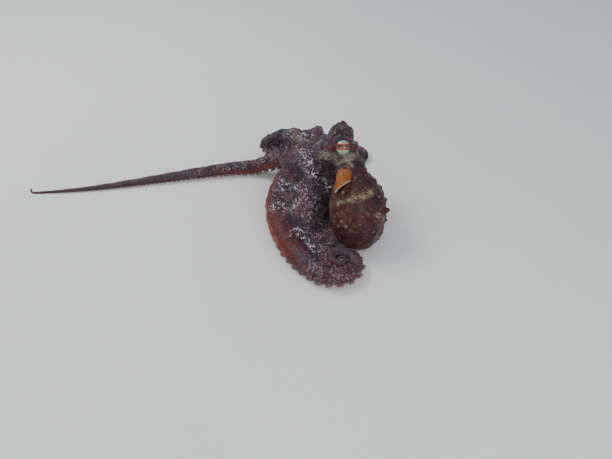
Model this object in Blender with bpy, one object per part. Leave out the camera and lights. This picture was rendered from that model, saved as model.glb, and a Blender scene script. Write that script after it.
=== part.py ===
"""A gloomy octopus at rest on the floor, life size, in metres with +Z up.

The animal looks towards -X and its left side faces -Y. Sizes are measured from the floor under the left
eye, and the finished model is then moved so that the middle of its footprint is the origin. The soft
mantle sags from the neck to the floor. The arms leave a ring round the mouth and come down one by one.
"""
import math

import bmesh
import bpy
import numpy as np

MM = 0.001
GAP = 0.3 * MM

# Head, eyes and neck, with the neck as middle points and radii
EYE_RADIUS = 9.2 * MM
EYES = {"left": (0, 0, 84), "right": (3, 29, 84)}
GAZE_ASIDE = 0.86
GAZE_UP = 0.50
HEAD_CENTRE = (-7, 16, 71)
HEAD_SIZE = (25, 20, 16)
TURRET_RADIUS = 11.4 * MM
TURRET_SET_BACK = 3.0 * MM
LID_RADIUS = 9.8 * MM
LID_THICKNESS = 1.6 * MM
LID_FORWARD = 3.0 * MM
BROW = (-2, 27, 84)
BROW_SIZE = (14.5, 11, 13.5)
THROAT = ((-6, 13, 60, 14), (5, -1, 56.5, 16), (10, -17, 58, 16), (13, -33, 57, 15))
NECK = ((2, 16, 65, 17), (9, -1, 65, 14), (12, -16, 68, 13.5), (13.5, -34, 61.5, 15.5))
ARM_NECK = ((-6, 16, 70, 15), (-22, 19, 60.5, 15.5), (-34, 21, 50, 18))

# Horn-like flaps of skin over the eyes and on the mantle: foot, tip and foot radius
HORNS = (
    ((-1, 27, 88), (1, 31, 101.5), 8.5),
    ((-9, 25, 84), (-13, 27, 91), 5),
    ((-4, 6, 88), (-5, 9, 96), 4.5),
    ((12, 10, 78), (17, 11, 84), 4.5),
)

# Mantle, a soft egg along a line that leans down from the neck
MANTLE_CENTRE = (15.5, -56.5, 38.5)
MANTLE_LEAN = (0.10, -0.70, -0.70)
MANTLE_FRONT = 38
MANTLE_BACK = 46.5
MANTLE_WIDTH = 32
MANTLE_DEPTH = 29.5
MANTLE_MOUTH = 0.54
MANTLE_FULLNESS = 2.3
MANTLE_HORNS = ((-0.55, 20), (-0.42, -8), (-0.30, 32), (-0.18, 4), (0.12, 24), (0.30, -6))

# Funnel, from the neck out over the mantle's edge, its wall, and the plane of its slanting mouth
FUNNEL = (
    (6, -19, 67, 6.3), (2, -33, 75, 7.6), (-0.5, -44, 77.5, 8.3), (-2, -53, 74.5, 8.2),
    (-4.5, -60.5, 65.5, 7.3), (-6.5, -64.5, 56.5, 4.8))
FUNNEL_WALL = 1.8 * MM
FUNNEL_BORE_FROM = 0.5
FUNNEL_MOUTH = (-3, -57, 70.5)
FUNNEL_FACING = (0.58, -0.62, -0.53)

# Ring of arm bases round the mouth, and the plane that parts it from the head
CROWN = (-36, 22, 48)
CROWN_SIZE = (31, 31, 23.5)
RING = 12
RING_TILT = 0.35
CROWN_CUT = (-22, 19, 60)
CROWN_CUT_FACING = (-0.77, 0.16, -0.61)

# Arms: heading in degrees from +X, sizes in mm, legs of length and turn, then a coil to one side
ARMS = {
    "left_1": dict(
        heading=216, radius=13, length=305, taper=1.0, fullness=2.8, root=36, hold=0, descent=80, arch=0,
        legs=((35, 19), (30, 41), (60, 23), (36, 17), (18, 23), (24, 46)), coil=1, openness=2.0,
        cuts=(122, 210)),
    "left_2": dict(
        heading=260, radius=13, length=189, taper=1.0, fullness=1.7, root=34, hold=0, descent=96, arch=2,
        legs=((24, 27), (34, -42), (34, 40), (18, 74)), coil=1, openness=2.0, cuts=(90,)),
    "left_3": dict(
        heading=302, radius=10.5, length=175, taper=1.1, fullness=1.3, root=36, hold=0, descent=58, arch=6,
        legs=((36, 18), (28, 48)), coil=1, openness=2.8, cuts=(80,)),
    "left_4": dict(
        heading=2, radius=9.5, length=155, taper=1.1, fullness=1.3, root=36, hold=0, descent=50, arch=0,
        legs=((30, 3), (15, 30)), coil=1, openness=2.4, cuts=(72,)),
    "right_4": dict(
        heading=38, radius=10, length=195, taper=1.1, fullness=1.3, root=38, hold=0, descent=60, arch=4,
        legs=((50, 45), (30, -20)), coil=-1, openness=2.6, cuts=(92,)),
    "right_3": dict(
        heading=72, radius=10.5, length=205, taper=1.1, fullness=1.3, root=38, hold=0, descent=78, arch=27,
        legs=((50, 35), (36, -20)), coil=-1, openness=2.8, cuts=(95,)),
    "right_2": dict(
        heading=102, radius=11.5, length=205, taper=1.1, fullness=1.4, root=38, hold=8, descent=108, arch=20,
        legs=((32, 48), (24, 20), (16, -50)), coil=-1, openness=2.7, cuts=(88,)),
    "right_1": dict(
        heading=140, radius=11, length=366, taper=1.15, fullness=1.0, root=34, hold=0, descent=95, arch=-6,
        legs=((45, 12), (50, 36), (60, 4), (90, 0), (90, -8), (19, 0), (12, -110)), coil=0, openness=3,
        cuts=(130, 245)),
}
ARM_SIDES = 8
TIP_RADIUS = 0.9
STAND_OFF = 0.16
ROUTE_STEPS = 240
RING_STEP = 1.0
RING_SPARE = 3.3

BEND_BLEND = 6
LENGTH_NAMES = ("inner", "middle", "tip")

# Suckers, one to each section of a tube, with size, distance from the middle line and depth in tube radii
SUCKER_SIDES = 6
SUCKER_SIZE = 0.42
SUCKER_MIN = 0.55 * MM
SUCKER_STALK = 0.62
SUCKER_ASIDE = 0.36
SUCKER_SUNK = 0.45
SUCKER_VARIETY = 0.07
BARE = {"right_2": 52}
BARE_USUAL = 24
ROLLS = {"left_1": (165, 225, 55)}

# Stretch of an arm, in mm from the ring, over which it rises off the floor, and by how much
LIFTS = {"left_1": (215, 280, 12)}

# Web between neighbouring arms: how far it follows each arm, in mm from the ring, and how deep its edge bows
WEBS = {
    "left_1_2": ("left_1", "left_2", 205, 140, 0.10),
    "left_2_3": ("left_2", "left_3", 128, 84, 0.05),
    "left_3_4": ("left_3", "left_4", 58, 56, 0.34),
    "rear": ("left_4", "right_4", 56, 60, 0.30),
    "right_4_3": ("right_4", "right_3", 68, 70, 0.30),
    "right_3_2": ("right_3", "right_2", 72, 66, 0.14),
    "right_2_1": ("right_2", "right_1", 84, 78, 0.20),
    "front": ("right_1", "left_1", 56, 62, 0.36),
}
WEB_THICKNESS = 3.2
WEB_LIFT = 0.45

# Finishes: colour, roughness and metallic value
FINISHES = {
    "mantle": ((0.20, 0.075, 0.055), 0.42, 0.0),
    "head": ((0.15, 0.075, 0.070), 0.45, 0.0),
    "arm": ((0.13, 0.055, 0.060), 0.45, 0.0),
    "web": ((0.16, 0.060, 0.055), 0.45, 0.0),
    "funnel": ((0.72, 0.28, 0.05), 0.40, 0.0),
    "eye": ((0.75, 0.45, 0.20), 0.12, 0.0),
}


def unit(vector):
    """The vector scaled to length one."""
    vector = np.asarray(vector, dtype=float)
    return vector / np.linalg.norm(vector)


def frames(points):
    """Side, up and forward directions at each point of a line that is never upright."""
    forward = np.gradient(points, axis=0)
    forward /= np.linalg.norm(forward, axis=1, keepdims=True)
    side = np.cross((0.0, 0.0, 1.0), forward)
    side /= np.linalg.norm(side, axis=1, keepdims=True)
    return side, np.cross(forward, side), forward


def mesh_object(name, vertices, faces, finish=None):
    """A smooth-shaded object of triangles, with its finish if it is a part of the animal."""
    mesh = bpy.data.meshes.new(name)
    mesh.from_pydata([tuple(v) for v in vertices], [], faces)
    mesh.update()
    thing = bpy.data.objects.new(name, mesh)
    bpy.context.scene.collection.objects.link(thing)
    if finish:
        dress(thing, finish)
    return thing


def dress(thing, finish):
    """One material of the object's own, from the named finish."""
    colour, roughness, metallic = FINISHES[finish]
    material = bpy.data.materials.new(thing.name)
    material.use_nodes = True
    shader = material.node_tree.nodes["Principled BSDF"]
    shader.inputs["Base Color"].default_value = (*colour, 1.0)
    shader.inputs["Roughness"].default_value = roughness
    shader.inputs["Metallic"].default_value = metallic
    thing.data.materials.clear()
    thing.data.materials.append(material)
    thing.data.shade_smooth()
    thing.data.set_sharp_from_angle(angle=math.radians(50))


def loft(name, rings, start=None, end=None):
    """A closed skin over rings of points, whose ends are flat, or drawn to a point where one is given."""
    count, sides, _ = rings.shape
    vertices = list(rings.reshape(-1, 3))
    faces = []
    for row in range(count - 1):
        for side in range(sides):
            a = row * sides + side
            b = row * sides + (side + 1) % sides
            faces += [(a, b, b + sides), (a, b + sides, a + sides)]
    last = (count - 1) * sides
    if start is None:
        faces += [(0, side + 1, side) for side in range(1, sides - 1)]
    else:
        vertices.append(start)
        faces += [(len(vertices) - 1, (side + 1) % sides, side) for side in range(sides)]
    if end is None:
        faces += [(last, last + side, last + side + 1) for side in range(1, sides - 1)]
    else:
        vertices.append(end)
        faces += [(len(vertices) - 1, last + side, last + (side + 1) % sides) for side in range(sides)]
    return mesh_object(name, vertices, faces)


def circle_rings(points, radii, sides):
    """Rings of points round a line, upright to it."""
    side, up, _ = frames(points)
    angle = (np.arange(sides) + 0.5) * 2 * math.pi / sides
    ring = np.cos(angle)[:, None] * side[:, None] + np.sin(angle)[:, None] * up[:, None]
    return points[:, None] + radii[:, None, None] * ring


def ball(name, centre, axes, rings, sides):
    """An egg round shape, from its middle and three half axes, the last one from pole to pole."""
    across, upward, along = axes
    tilt = np.linspace(0, math.pi, rings + 1)[1:-1, None, None]
    turn = (np.arange(sides) * 2 * math.pi / sides)[None, :, None]
    rings = centre - np.cos(tilt) * along + np.sin(tilt) * (np.cos(turn) * across + np.sin(turn) * upward)
    return loft(name, rings, centre - along, centre + along)


def course_points(course, steps):
    """A smooth line through the middle points of a course, and its radii, in metres."""
    stations = np.array(course, dtype=float) * MM
    knots = np.arange(len(stations))
    slope = np.gradient(stations, axis=0)
    place = np.linspace(0, knots[-1], steps)
    before = np.minimum(place.astype(int), knots[-1] - 1)
    part = (place - before)[:, None]
    a, b = stations[before], stations[before + 1]
    m, n = slope[before], slope[before + 1]
    line = (a * (1 - part) ** 2 * (1 + 2 * part) + b * part ** 2 * (3 - 2 * part)
            + m * part * (1 - part) ** 2 - n * part ** 2 * (1 - part))
    return line[:, :3], line[:, 3]


def course_tube(name, course, steps, sides, grow=0.0):
    """A tube of changing width along a course, its flat ends pushed out as its wall is."""
    points, radii = course_points(course, steps)
    points[0] -= unit(points[1] - points[0]) * grow
    points[-1] += unit(points[-1] - points[-2]) * grow
    return loft(name, circle_rings(points, radii + grow, sides))


def half_space(name, point, facing, size=0.4):
    """A large box on the side of a plane that the plane faces."""
    facing = unit(facing)
    across = unit(np.cross(facing, (0.0, 0.0, 1.0)))
    upward = np.cross(facing, across)
    corners = [(-1, -1), (1, -1), (1, 1), (-1, 1)]
    near = np.array([point + size * (u * across + v * upward) for u, v in corners])
    return loft(name, np.array([near, near + 2 * size * facing]))


def join(thing, pieces, operation="UNION", solver="EXACT"):
    """Fuses the pieces with the object, or takes them from it, and removes them."""
    bench = bpy.data.collections.new("bench")
    bpy.context.scene.collection.children.link(bench)
    for piece in pieces:
        bpy.context.scene.collection.objects.unlink(piece)
        bench.objects.link(piece)
    change = thing.modifiers.new("join", "BOOLEAN")
    change.operation = operation
    change.operand_type = "COLLECTION"
    change.collection = bench
    change.solver = solver
    bpy.context.view_layer.update()
    seen = thing.evaluated_get(bpy.context.evaluated_depsgraph_get())
    mesh = bpy.data.meshes.new_from_object(seen)
    thing.modifiers.remove(change)
    thing.data = mesh
    for piece in pieces:
        bpy.data.objects.remove(piece)
    bpy.data.collections.remove(bench)
    keep_largest(thing)
    return thing


def keep_largest(thing):
    """Splits the mesh into triangles and keeps its largest closed surface."""
    shape = bmesh.new()
    shape.from_mesh(thing.data)
    bmesh.ops.triangulate(shape, faces=shape.faces)
    shape.verts.ensure_lookup_table()
    seen = set()
    groups = []
    for first in shape.verts:
        if first in seen:
            continue
        seen.add(first)
        group = [first]
        for vertex in group:
            for edge in vertex.link_edges:
                other = edge.other_vert(vertex)
                if other not in seen:
                    seen.add(other)
                    group.append(other)
        groups.append(group)
    groups.sort(key=len)
    for group in groups[:-1]:
        bmesh.ops.delete(shape, geom=group, context="VERTS")
    shape.to_mesh(thing.data)
    shape.free()


def box_blur(values, reach):
    """Each value replaced by the mean of its neighbours on both sides."""
    padded = np.pad(values, reach, mode="edge")
    return np.convolve(padded, np.ones(2 * reach + 1) / (2 * reach + 1), mode="valid")


def arm_route(name):
    """Middle points, radii and distances along one arm, in metres from the ring to the tip."""
    arm = ARMS[name]
    along = np.linspace(0, arm["length"], ROUTE_STEPS + 1)
    step = along[1]
    share = along / arm["length"]
    radii = TIP_RADIUS + (arm["radius"] - TIP_RADIUS) * (1 - share ** arm["fullness"]) ** arm["taper"]
    ends = np.cumsum([length for length, _ in arm["legs"]])
    bends = np.array([math.radians(turn) / length for length, turn in arm["legs"]])
    bend = bends[np.minimum(np.searchsorted(ends, along, side="right"), len(bends) - 1)]
    if arm["coil"]:
        bend = np.where(along > ends[-1], arm["coil"] / (arm["openness"] * radii + 1), bend)
    bend = box_blur(bend, int(BEND_BLEND / step))
    start = math.radians(arm["heading"])
    heading = start + np.concatenate([[0], np.cumsum((bend[1:] + bend[:-1]) / 2 * step)])
    way = np.stack([np.cos(heading), np.sin(heading)], axis=1)
    foot = np.array(CROWN) + RING * np.array([math.cos(start), math.sin(start), -RING_TILT * math.cos(start)])
    flat = foot[:2] + np.concatenate([[[0, 0]], np.cumsum((way[1:] + way[:-1]) / 2 * step, axis=0)])
    lying = radii * (1 + STAND_OFF)
    fall = np.clip((along - arm["hold"]) / (arm["descent"] - arm["hold"]), 0, 1)
    height = lying + (foot[2] - lying) * (1 - fall * fall * (3 - 2 * fall))
    height += arm["arch"] * np.sin(math.pi * np.clip(along / arm["descent"], 0, 1))
    first, last, lift = LIFTS.get(name, (0, 1, 0))
    rise = np.clip((along - first) / (last - first), 0, 1)
    height += lift * rise * rise * (3 - 2 * rise)
    points = np.column_stack([flat, height])
    return points * MM, radii * MM, along * MM


def stations(name):
    """Distances along an arm, in mm, of the rings of its tube, closer together where it is thinner."""
    arm = ARMS[name]
    _, radii, along = arm_route(name)
    edges = (0, arm["root"], *arm["cuts"], arm["length"])
    places = [0.0]
    for first, last in zip(edges[:-1], edges[1:]):
        part = np.linspace(first, last, 200)
        density = 1 / (RING_STEP * np.interp(part * MM, along, radii) / MM + RING_SPARE)
        count = np.concatenate([[0], np.cumsum((density[1:] + density[:-1]) / 2 * (part[1] - part[0]))])
        pieces = max(1, round(count[-1]))
        places += list(np.interp(np.arange(1, pieces + 1) / pieces * count[-1], count, part))
    return np.array(places)


def arm_tube(label, name, first, last, grow=0.0):
    """One length of an arm between two distances in mm, with flat ends, or grown all round as a cutter."""
    points, radii, along = arm_route(name)
    places = stations(name)
    places = places[(places > first - 0.01) & (places < last + 0.01)] * MM
    if first and not grow:
        places[0] += GAP
    side, up, forward = frames(points)
    middle, across, upward = (
        np.stack([np.interp(places, along, column) for column in table.T], axis=1)
        for table in (points, side, up))
    radius = np.interp(places, along, radii) + grow
    middle[0] -= grow * forward[0]
    middle[-1] += grow * forward[-1]
    spin = (np.arange(ARM_SIDES) * 2 * math.pi / ARM_SIDES)[None, :, None]
    ring = np.cos(spin) * across[:, None] + np.sin(spin) * upward[:, None]
    return loft(label, middle[:, None] + radius[:, None, None] * ring)


def sucker(middle, axis, radius, depth):
    """A cup on a flared stalk: its rim lies round the middle, and its root lies a depth behind it."""
    across = unit(np.cross(axis, (0.36, 0.93, 0.08)))
    aside = np.cross(axis, across)
    spin = ((np.arange(SUCKER_SIDES) + 0.5) * 2 * math.pi / SUCKER_SIDES)[:, None]
    circle = radius * (np.cos(spin) * across + np.sin(spin) * aside)
    root = middle - depth * axis + SUCKER_STALK * circle
    rim = middle + circle
    rim[:, 2] = np.maximum(rim[:, 2], 0)
    count = SUCKER_SIDES
    faces = [tuple(reversed(range(count)))]
    for a in range(count):
        b = (a + 1) % count
        faces += [(a, b, count + b, count + a), (count + a, count + b, 2 * count)]
    return mesh_object("sucker", [*root, *rim, middle - SUCKER_STALK * radius * axis], faces)


def suckers(name, first, last, grow=0.0):
    """Both rows of suckers on one length of an arm, turned to the floor where the arm lies on it."""
    arm = ARMS[name]
    points, radii, along = arm_route(name)
    side, up, _ = frames(points)
    roll_first, roll_last, roll = ROLLS.get(name, (0, 1, 0))
    places = stations(name)
    places = (places[1:] + places[:-1]) / 2
    cups = []
    for number, place in enumerate(places):
        if not max(first, BARE.get(name, BARE_USUAL)) < place < last:
            continue
        middle, across, upward = (
            np.array([np.interp(place * MM, along, column) for column in table.T])
            for table in (points, side, up))
        radius = np.interp(place * MM, along, radii)
        lie = np.clip(4 * place / arm["descent"] - 3, 0, 1)
        upward = unit(upward * (1 - lie) + np.array((0.0, 0.0, 1.0)) * lie)
        angle = math.radians(roll) * np.clip((place - roll_first) / (roll_last - roll_first), 0, 1)
        axis = -math.cos(angle) * upward - math.sin(angle) * across
        aside = math.cos(angle) * across - math.sin(angle) * upward
        size = max(SUCKER_MIN, SUCKER_SIZE * radius) * (1 + SUCKER_VARIETY * math.sin(5 * number)) + grow
        row = 1 if number % 2 else -1
        rim = middle + row * SUCKER_ASIDE * radius * aside + ((1 + STAND_OFF) * radius + grow) * axis
        cups.append(sucker(rim, axis, size, (STAND_OFF + SUCKER_SUNK) * radius))
    return cups


def mantle_frame():
    """The mantle's middle and its side, up and backward directions."""
    back = unit(MANTLE_LEAN)
    side = unit(np.cross((0.0, 0.0, 1.0), back))
    return np.array(MANTLE_CENTRE) * MM, side, np.cross(back, side), back


def mantle_width(share):
    """The mantle's half width at a share of the way to its front (negative) or back end, from 0 to 1."""
    front = math.sqrt(1 - MANTLE_MOUTH ** 2)
    return np.where(share < 0, np.sqrt(np.clip(1 - (front * share) ** 2, 0, 1)),
                    np.clip(1 - np.abs(share) ** MANTLE_FULLNESS, 0, 1) ** 0.5)


def mantle_shell(name, grow=0.0, rings=14, sides=22):
    """The mantle's egg, flat at its mouth and where it touches the floor."""
    centre, side, up, back = mantle_frame()
    share = np.concatenate([np.linspace(-1, 0, 6), np.sin(np.linspace(0, math.pi / 2, rings - 5))[1:-1]])
    reach = (np.where(share < 0, MANTLE_FRONT, MANTLE_BACK) * MM + grow) * share
    width = mantle_width(share)
    turn = (np.arange(sides) * 2 * math.pi / sides)[:, None]
    oval = (np.cos(turn) * side * (MANTLE_WIDTH * MM + grow)
            + np.sin(turn) * up * (MANTLE_DEPTH * MM + grow))
    shell = centre + reach[:, None, None] * back + width[:, None, None] * oval
    shell[..., 2] = np.maximum(shell[..., 2], 0)
    return loft(name, shell, end=centre + (MANTLE_BACK * MM + grow) * back)


def horn(name, foot, tip, radius, sides=6):
    """A blunt cone of skin, its foot sunk below the place it stands on."""
    foot, tip = np.array(foot) * MM, np.array(tip) * MM
    line = np.array([foot - 0.35 * (tip - foot), foot, foot + 0.55 * (tip - foot), tip])
    return loft(name, circle_rings(line, radius * MM * np.array([1.15, 1.0, 0.66, 0.30]), sides))


def gaze(eye):
    """The direction that an eye looks in."""
    aside = -GAZE_ASIDE if eye == "left" else GAZE_ASIDE
    return unit((-0.05, aside, GAZE_UP))


def lid(name, eye):
    """The fold of skin round an eye."""
    look = gaze(eye)
    across = unit(np.cross((0.0, 0.0, 1.0), look))
    upward = np.cross(look, across)
    middle = np.array(EYES[eye]) * MM + LID_FORWARD * look
    steps, sides = 14, 5
    vertices = []
    for turn in np.arange(steps) * 2 * math.pi / steps:
        out = math.cos(turn) * across + math.sin(turn) * upward
        for spin in np.arange(sides) * 2 * math.pi / sides:
            vertices.append(middle + out * (LID_RADIUS + LID_THICKNESS * math.cos(spin))
                            + look * LID_THICKNESS * math.sin(spin))
    faces = []
    for step in range(steps):
        for side in range(sides):
            a, b = step * sides + side, step * sides + (side + 1) % sides
            c, d = ((step + 1) % steps) * sides + (side + 1) % sides, ((step + 1) % steps) * sides + side
            faces += [(a, c, b), (a, d, c)]
    return mesh_object(name, vertices, faces)


def eye_ball(name, eye, grow=0.0):
    """One eyeball, turned so that its pole is the middle of the pupil."""
    look = gaze(eye)
    across = unit(np.cross((0.0, 0.0, 1.0), look))
    radius = EYE_RADIUS + grow
    axes = (across * radius, np.cross(look, across) * radius, look * radius)
    return ball(name, np.array(EYES[eye]) * MM, axes, 8, 14)


def make_head():
    """Head, neck, eye mounds, lids and brow horns, parted from mantle, arms and eyeballs."""
    centre = np.array(HEAD_CENTRE) * MM
    size = np.array(HEAD_SIZE) * MM
    head = ball("head", centre, np.diag(size)[[1, 2, 0]], 9, 16)
    pieces = [course_tube("neck", NECK, 8, 14), course_tube("arm_neck", ARM_NECK, 4, 14)]
    pieces.append(course_tube("throat", THROAT, 6, 12))
    pieces.append(ball("brow", np.array(BROW) * MM, np.diag(np.array(BROW_SIZE) * MM)[[1, 2, 0]], 7, 12))
    for eye in EYES:
        back = np.array(EYES[eye]) * MM - TURRET_SET_BACK * gaze(eye)
        pieces.append(ball("turret", back, np.eye(3) * TURRET_RADIUS, 8, 12))
        pieces.append(lid("lid", eye))
    pieces += [horn("horn", *sizes) for sizes in HORNS]
    join(head, pieces)
    middle, _, _, back = mantle_frame()
    cutters = [half_space("mantle_side", middle - (MANTLE_FRONT * MM + GAP) * back, back)]
    cutters.append(half_space("crown_side", np.array(CROWN_CUT) * MM, CROWN_CUT_FACING))
    cutters += [eye_ball("socket", eye, GAP) for eye in EYES]
    for name, arm in ARMS.items():
        cutters.append(arm_tube("arm_room", name, 0, arm["root"], GAP))
    for cutter in cutters:
        join(head, [cutter], "DIFFERENCE")
    dress(head, "head")
    return head


def make_mantle():
    """The mantle with its horns, and the hollow that the funnel lies in."""
    mantle = mantle_shell("mantle")
    centre, side, up, back = mantle_frame()
    horns = []
    for share, turn in MANTLE_HORNS:
        angle = math.radians(turn)
        width = float(mantle_width(np.array(share)))
        reach = MANTLE_FRONT if share < 0 else MANTLE_BACK
        skin = centre + share * reach * MM * back + width * MM * (
            math.cos(angle) * side * MANTLE_WIDTH + math.sin(angle) * up * MANTLE_DEPTH)
        out = unit(skin - centre)
        horns.append(horn("horn", skin / MM, (skin + 5 * MM * out) / MM, 3.4))
    join(mantle, horns)
    join(mantle, [funnel_tube("funnel_room", GAP)], "DIFFERENCE")
    dress(mantle, "mantle")
    return mantle


def funnel_tube(name, grow=0.0):
    """The funnel's tube as far as its slanting mouth."""
    facing = unit(FUNNEL_FACING)
    tube = course_tube(name, FUNNEL, 13, 12, grow)
    return join(tube, [half_space("mouth", np.array(FUNNEL_MOUTH) * MM + grow * facing, facing)], "DIFFERENCE")


def make_funnel():
    """The funnel, hollow behind its mouth, parted from the neck."""
    funnel = funnel_tube("funnel")
    points, radii = course_points(FUNNEL, 25)
    first = round(24 * FUNNEL_BORE_FROM)
    join(funnel, [loft("bore", circle_rings(points[first:], radii[first:] - FUNNEL_WALL, 12))], "DIFFERENCE")
    join(funnel, [course_tube("neck_room", NECK, 8, 14, GAP)], "DIFFERENCE")
    join(funnel, [course_tube("throat_room", THROAT, 6, 12, GAP)], "DIFFERENCE")
    dress(funnel, "funnel")
    return funnel


def make_eyes():
    """The two eyeballs."""
    eyes = [eye_ball("eye_" + eye, eye) for eye in EYES]
    for thing in eyes:
        dress(thing, "eye")
    return eyes


def crown_dome(name, grow=0.0):
    """The dome over the mouth that the arms grow from."""
    axes = np.diag(np.array(CROWN_SIZE) * MM + grow)[[1, 2, 0]]
    return ball(name, np.array(CROWN) * MM, axes, 9, 16)


def make_crown():
    """The dome over the mouth fused with the bases of the eight arms, and parted from the head."""
    crown = crown_dome("arm_crown")
    facing = -unit(CROWN_CUT_FACING)
    join(crown, [half_space("head_side", np.array(CROWN_CUT) * MM - GAP * facing, facing)], "DIFFERENCE")
    join(crown, [arm_tube("base", name, 0, arm["root"]) for name, arm in ARMS.items()])
    join(crown, [cup for name, arm in ARMS.items() for cup in suckers(name, 0, arm["root"])])
    dress(crown, "arm")
    return crown


def make_arms():
    """Every arm beyond its base, in lengths that meet face to face."""
    things = []
    for name, arm in ARMS.items():
        edges = (arm["root"], *arm["cuts"], arm["length"])
        labels = LENGTH_NAMES if len(arm["cuts"]) == 2 else (LENGTH_NAMES[0], LENGTH_NAMES[2])
        for label, first, last in zip(labels, edges[:-1], edges[1:]):
            thing = arm_tube("arm_" + name + "_" + label, name, first, last)
            join(thing, suckers(name, first, last))
            dress(thing, "arm")
            things.append(thing)
    return things


def make_web(name, first, second, reach_first, reach_second, bow, rows=7, columns=7):
    """A sheet of skin between two arms, with a bowed free edge, parted from both of them."""
    share = np.linspace(0, 1, columns)
    lines = []
    for arm, reach in ((first, reach_first), (second, reach_second)):
        points, radii, along = arm_route(arm)
        points[:, 2] += WEB_LIFT * radii
        lines.append((points, along, reach * MM))
    sheet = np.empty((rows, columns, 3))
    for column, part in enumerate(share):
        out = np.linspace(0, 1, rows) * (1 - bow * 4 * part * (1 - part))
        ends = [np.stack([np.interp(out * reach, along, points[:, k]) for k in range(3)], axis=1)
                for points, along, reach in lines]
        sheet[:, column] = ends[0] * (1 - part) + ends[1] * part
    down = np.gradient(sheet, axis=0)
    over = np.gradient(sheet, axis=1)
    normal = np.cross(down, over)
    normal /= np.linalg.norm(normal, axis=2, keepdims=True)
    if normal[..., 2].mean() < 0:
        normal = -normal
    upper = sheet + normal * WEB_THICKNESS * MM / 2
    lower = sheet - normal * WEB_THICKNESS * MM / 2
    web = slab("web_" + name, upper, lower)
    rooms = [[arm_tube("arm_room", arm, 0, sizes["length"], GAP)] for arm, sizes in ARMS.items()]
    rooms += [suckers(arm, 0, ARMS[arm]["length"], GAP) for arm in (first, second)]
    rooms += [[crown_dome("crown_room", GAP)], [mantle_shell("mantle_room", GAP)]]
    for room in rooms:
        join(web, room, "DIFFERENCE", "MANIFOLD")
    dress(web, "web")
    return web


def slab(name, upper, lower):
    """A closed plate between two grids of points, split into triangles alike on both faces."""
    rows, columns, _ = upper.shape
    vertices = list(upper.reshape(-1, 3)) + list(lower.reshape(-1, 3))
    low = rows * columns
    faces = []
    for row in range(rows - 1):
        for column in range(columns - 1):
            a = row * columns + column
            b, c, d = a + 1, a + columns + 1, a + columns
            faces += [(a, b, c), (a, c, d), (low + a, low + c, low + b), (low + a, low + d, low + c)]
    rim = [(0, column) for column in range(columns)] + [(row, columns - 1) for row in range(1, rows)]
    rim += [(rows - 1, column) for column in reversed(range(columns - 1))]
    rim += [(row, 0) for row in reversed(range(1, rows - 1))]
    rim = [row * columns + column for row, column in rim]
    for a, b in zip(rim, rim[1:] + rim[:1]):
        faces += [(a, low + a, low + b), (a, low + b, b)]
    thing = mesh_object(name, vertices, faces)
    shape = bmesh.new()
    shape.from_mesh(thing.data)
    bmesh.ops.recalc_face_normals(shape, faces=shape.faces)
    shape.to_mesh(thing.data)
    shape.free()
    return thing


def move_to_origin(things):
    """Moves every mesh so that the middle of the whole footprint is the origin."""
    corners = np.concatenate([[tuple(v.co) for v in thing.data.vertices] for thing in things])
    middle = (corners.min(axis=0) + corners.max(axis=0)) / 2
    for thing in things:
        for vertex in thing.data.vertices:
            vertex.co.x -= middle[0]
            vertex.co.y -= middle[1]


def main():
    """Builds every part of the animal."""
    for thing in list(bpy.data.objects):
        bpy.data.objects.remove(thing)
    things = [make_mantle(), make_head(), make_funnel(), *make_eyes(), make_crown(), *make_arms()]
    things += [make_web(name, *sizes) for name, sizes in WEBS.items()]
    move_to_origin(things)


main()
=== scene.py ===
"""Looks of a gloomy octopus at rest, life size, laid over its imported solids.

Shapes are worked out in millimetres round a point on the floor under the left eye, with numpy, as
surfaces of two parameters, and are then placed in the frame of the solids. The body is the union of
the same eggs, tubes and sheets as the solids, made one skin by a voxel remesh, softened and warted.
"""

import functools
import math

import bpy
import numpy as np
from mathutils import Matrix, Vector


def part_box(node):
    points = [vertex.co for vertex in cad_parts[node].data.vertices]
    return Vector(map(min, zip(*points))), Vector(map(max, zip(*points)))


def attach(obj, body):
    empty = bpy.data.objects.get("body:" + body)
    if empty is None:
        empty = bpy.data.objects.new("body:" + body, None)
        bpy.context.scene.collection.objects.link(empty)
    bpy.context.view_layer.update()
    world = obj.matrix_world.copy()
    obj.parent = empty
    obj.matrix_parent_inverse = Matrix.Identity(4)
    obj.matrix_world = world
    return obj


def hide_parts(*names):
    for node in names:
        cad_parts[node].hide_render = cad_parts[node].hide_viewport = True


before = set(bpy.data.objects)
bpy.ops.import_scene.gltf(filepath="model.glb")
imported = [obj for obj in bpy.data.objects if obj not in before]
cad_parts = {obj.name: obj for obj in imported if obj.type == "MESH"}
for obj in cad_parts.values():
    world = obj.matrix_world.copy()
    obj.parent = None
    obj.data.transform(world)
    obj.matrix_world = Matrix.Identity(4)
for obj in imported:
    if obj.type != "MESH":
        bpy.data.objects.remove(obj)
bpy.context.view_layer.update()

bl_info = {
    "name": "Gloomy octopus",
    "version": (1, 0, 0),
    "blender": (4, 5, 0),
    "location": "View3D > Sidebar > Octopus",
    "description": "Dresses the solids of a resting octopus with skin, suckers, eyes and funnel",
    "category": "Object",
}

MM = 0.001

# Sizes in mm. Eyes: radius, middles, gaze, the slit in shares of the radius, and rows and sides of the ball
EYE_RADIUS = 9.2
EYES = {"left": (0, 0, 84), "right": (3, 29, 84)}
GAZE_ASIDE = 0.86
GAZE_UP = 0.50
PUPIL_UP = 0.21
PUPIL_HEIGHT = 0.035
PUPIL_FLARE = 0.36
PUPIL_REACH = 0.60
PUPIL_DEPTH = 0.15
PUPIL_SIDE = 0.03
PUPIL_END = 0.1
EYE_GRID = (64, 96)

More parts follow.
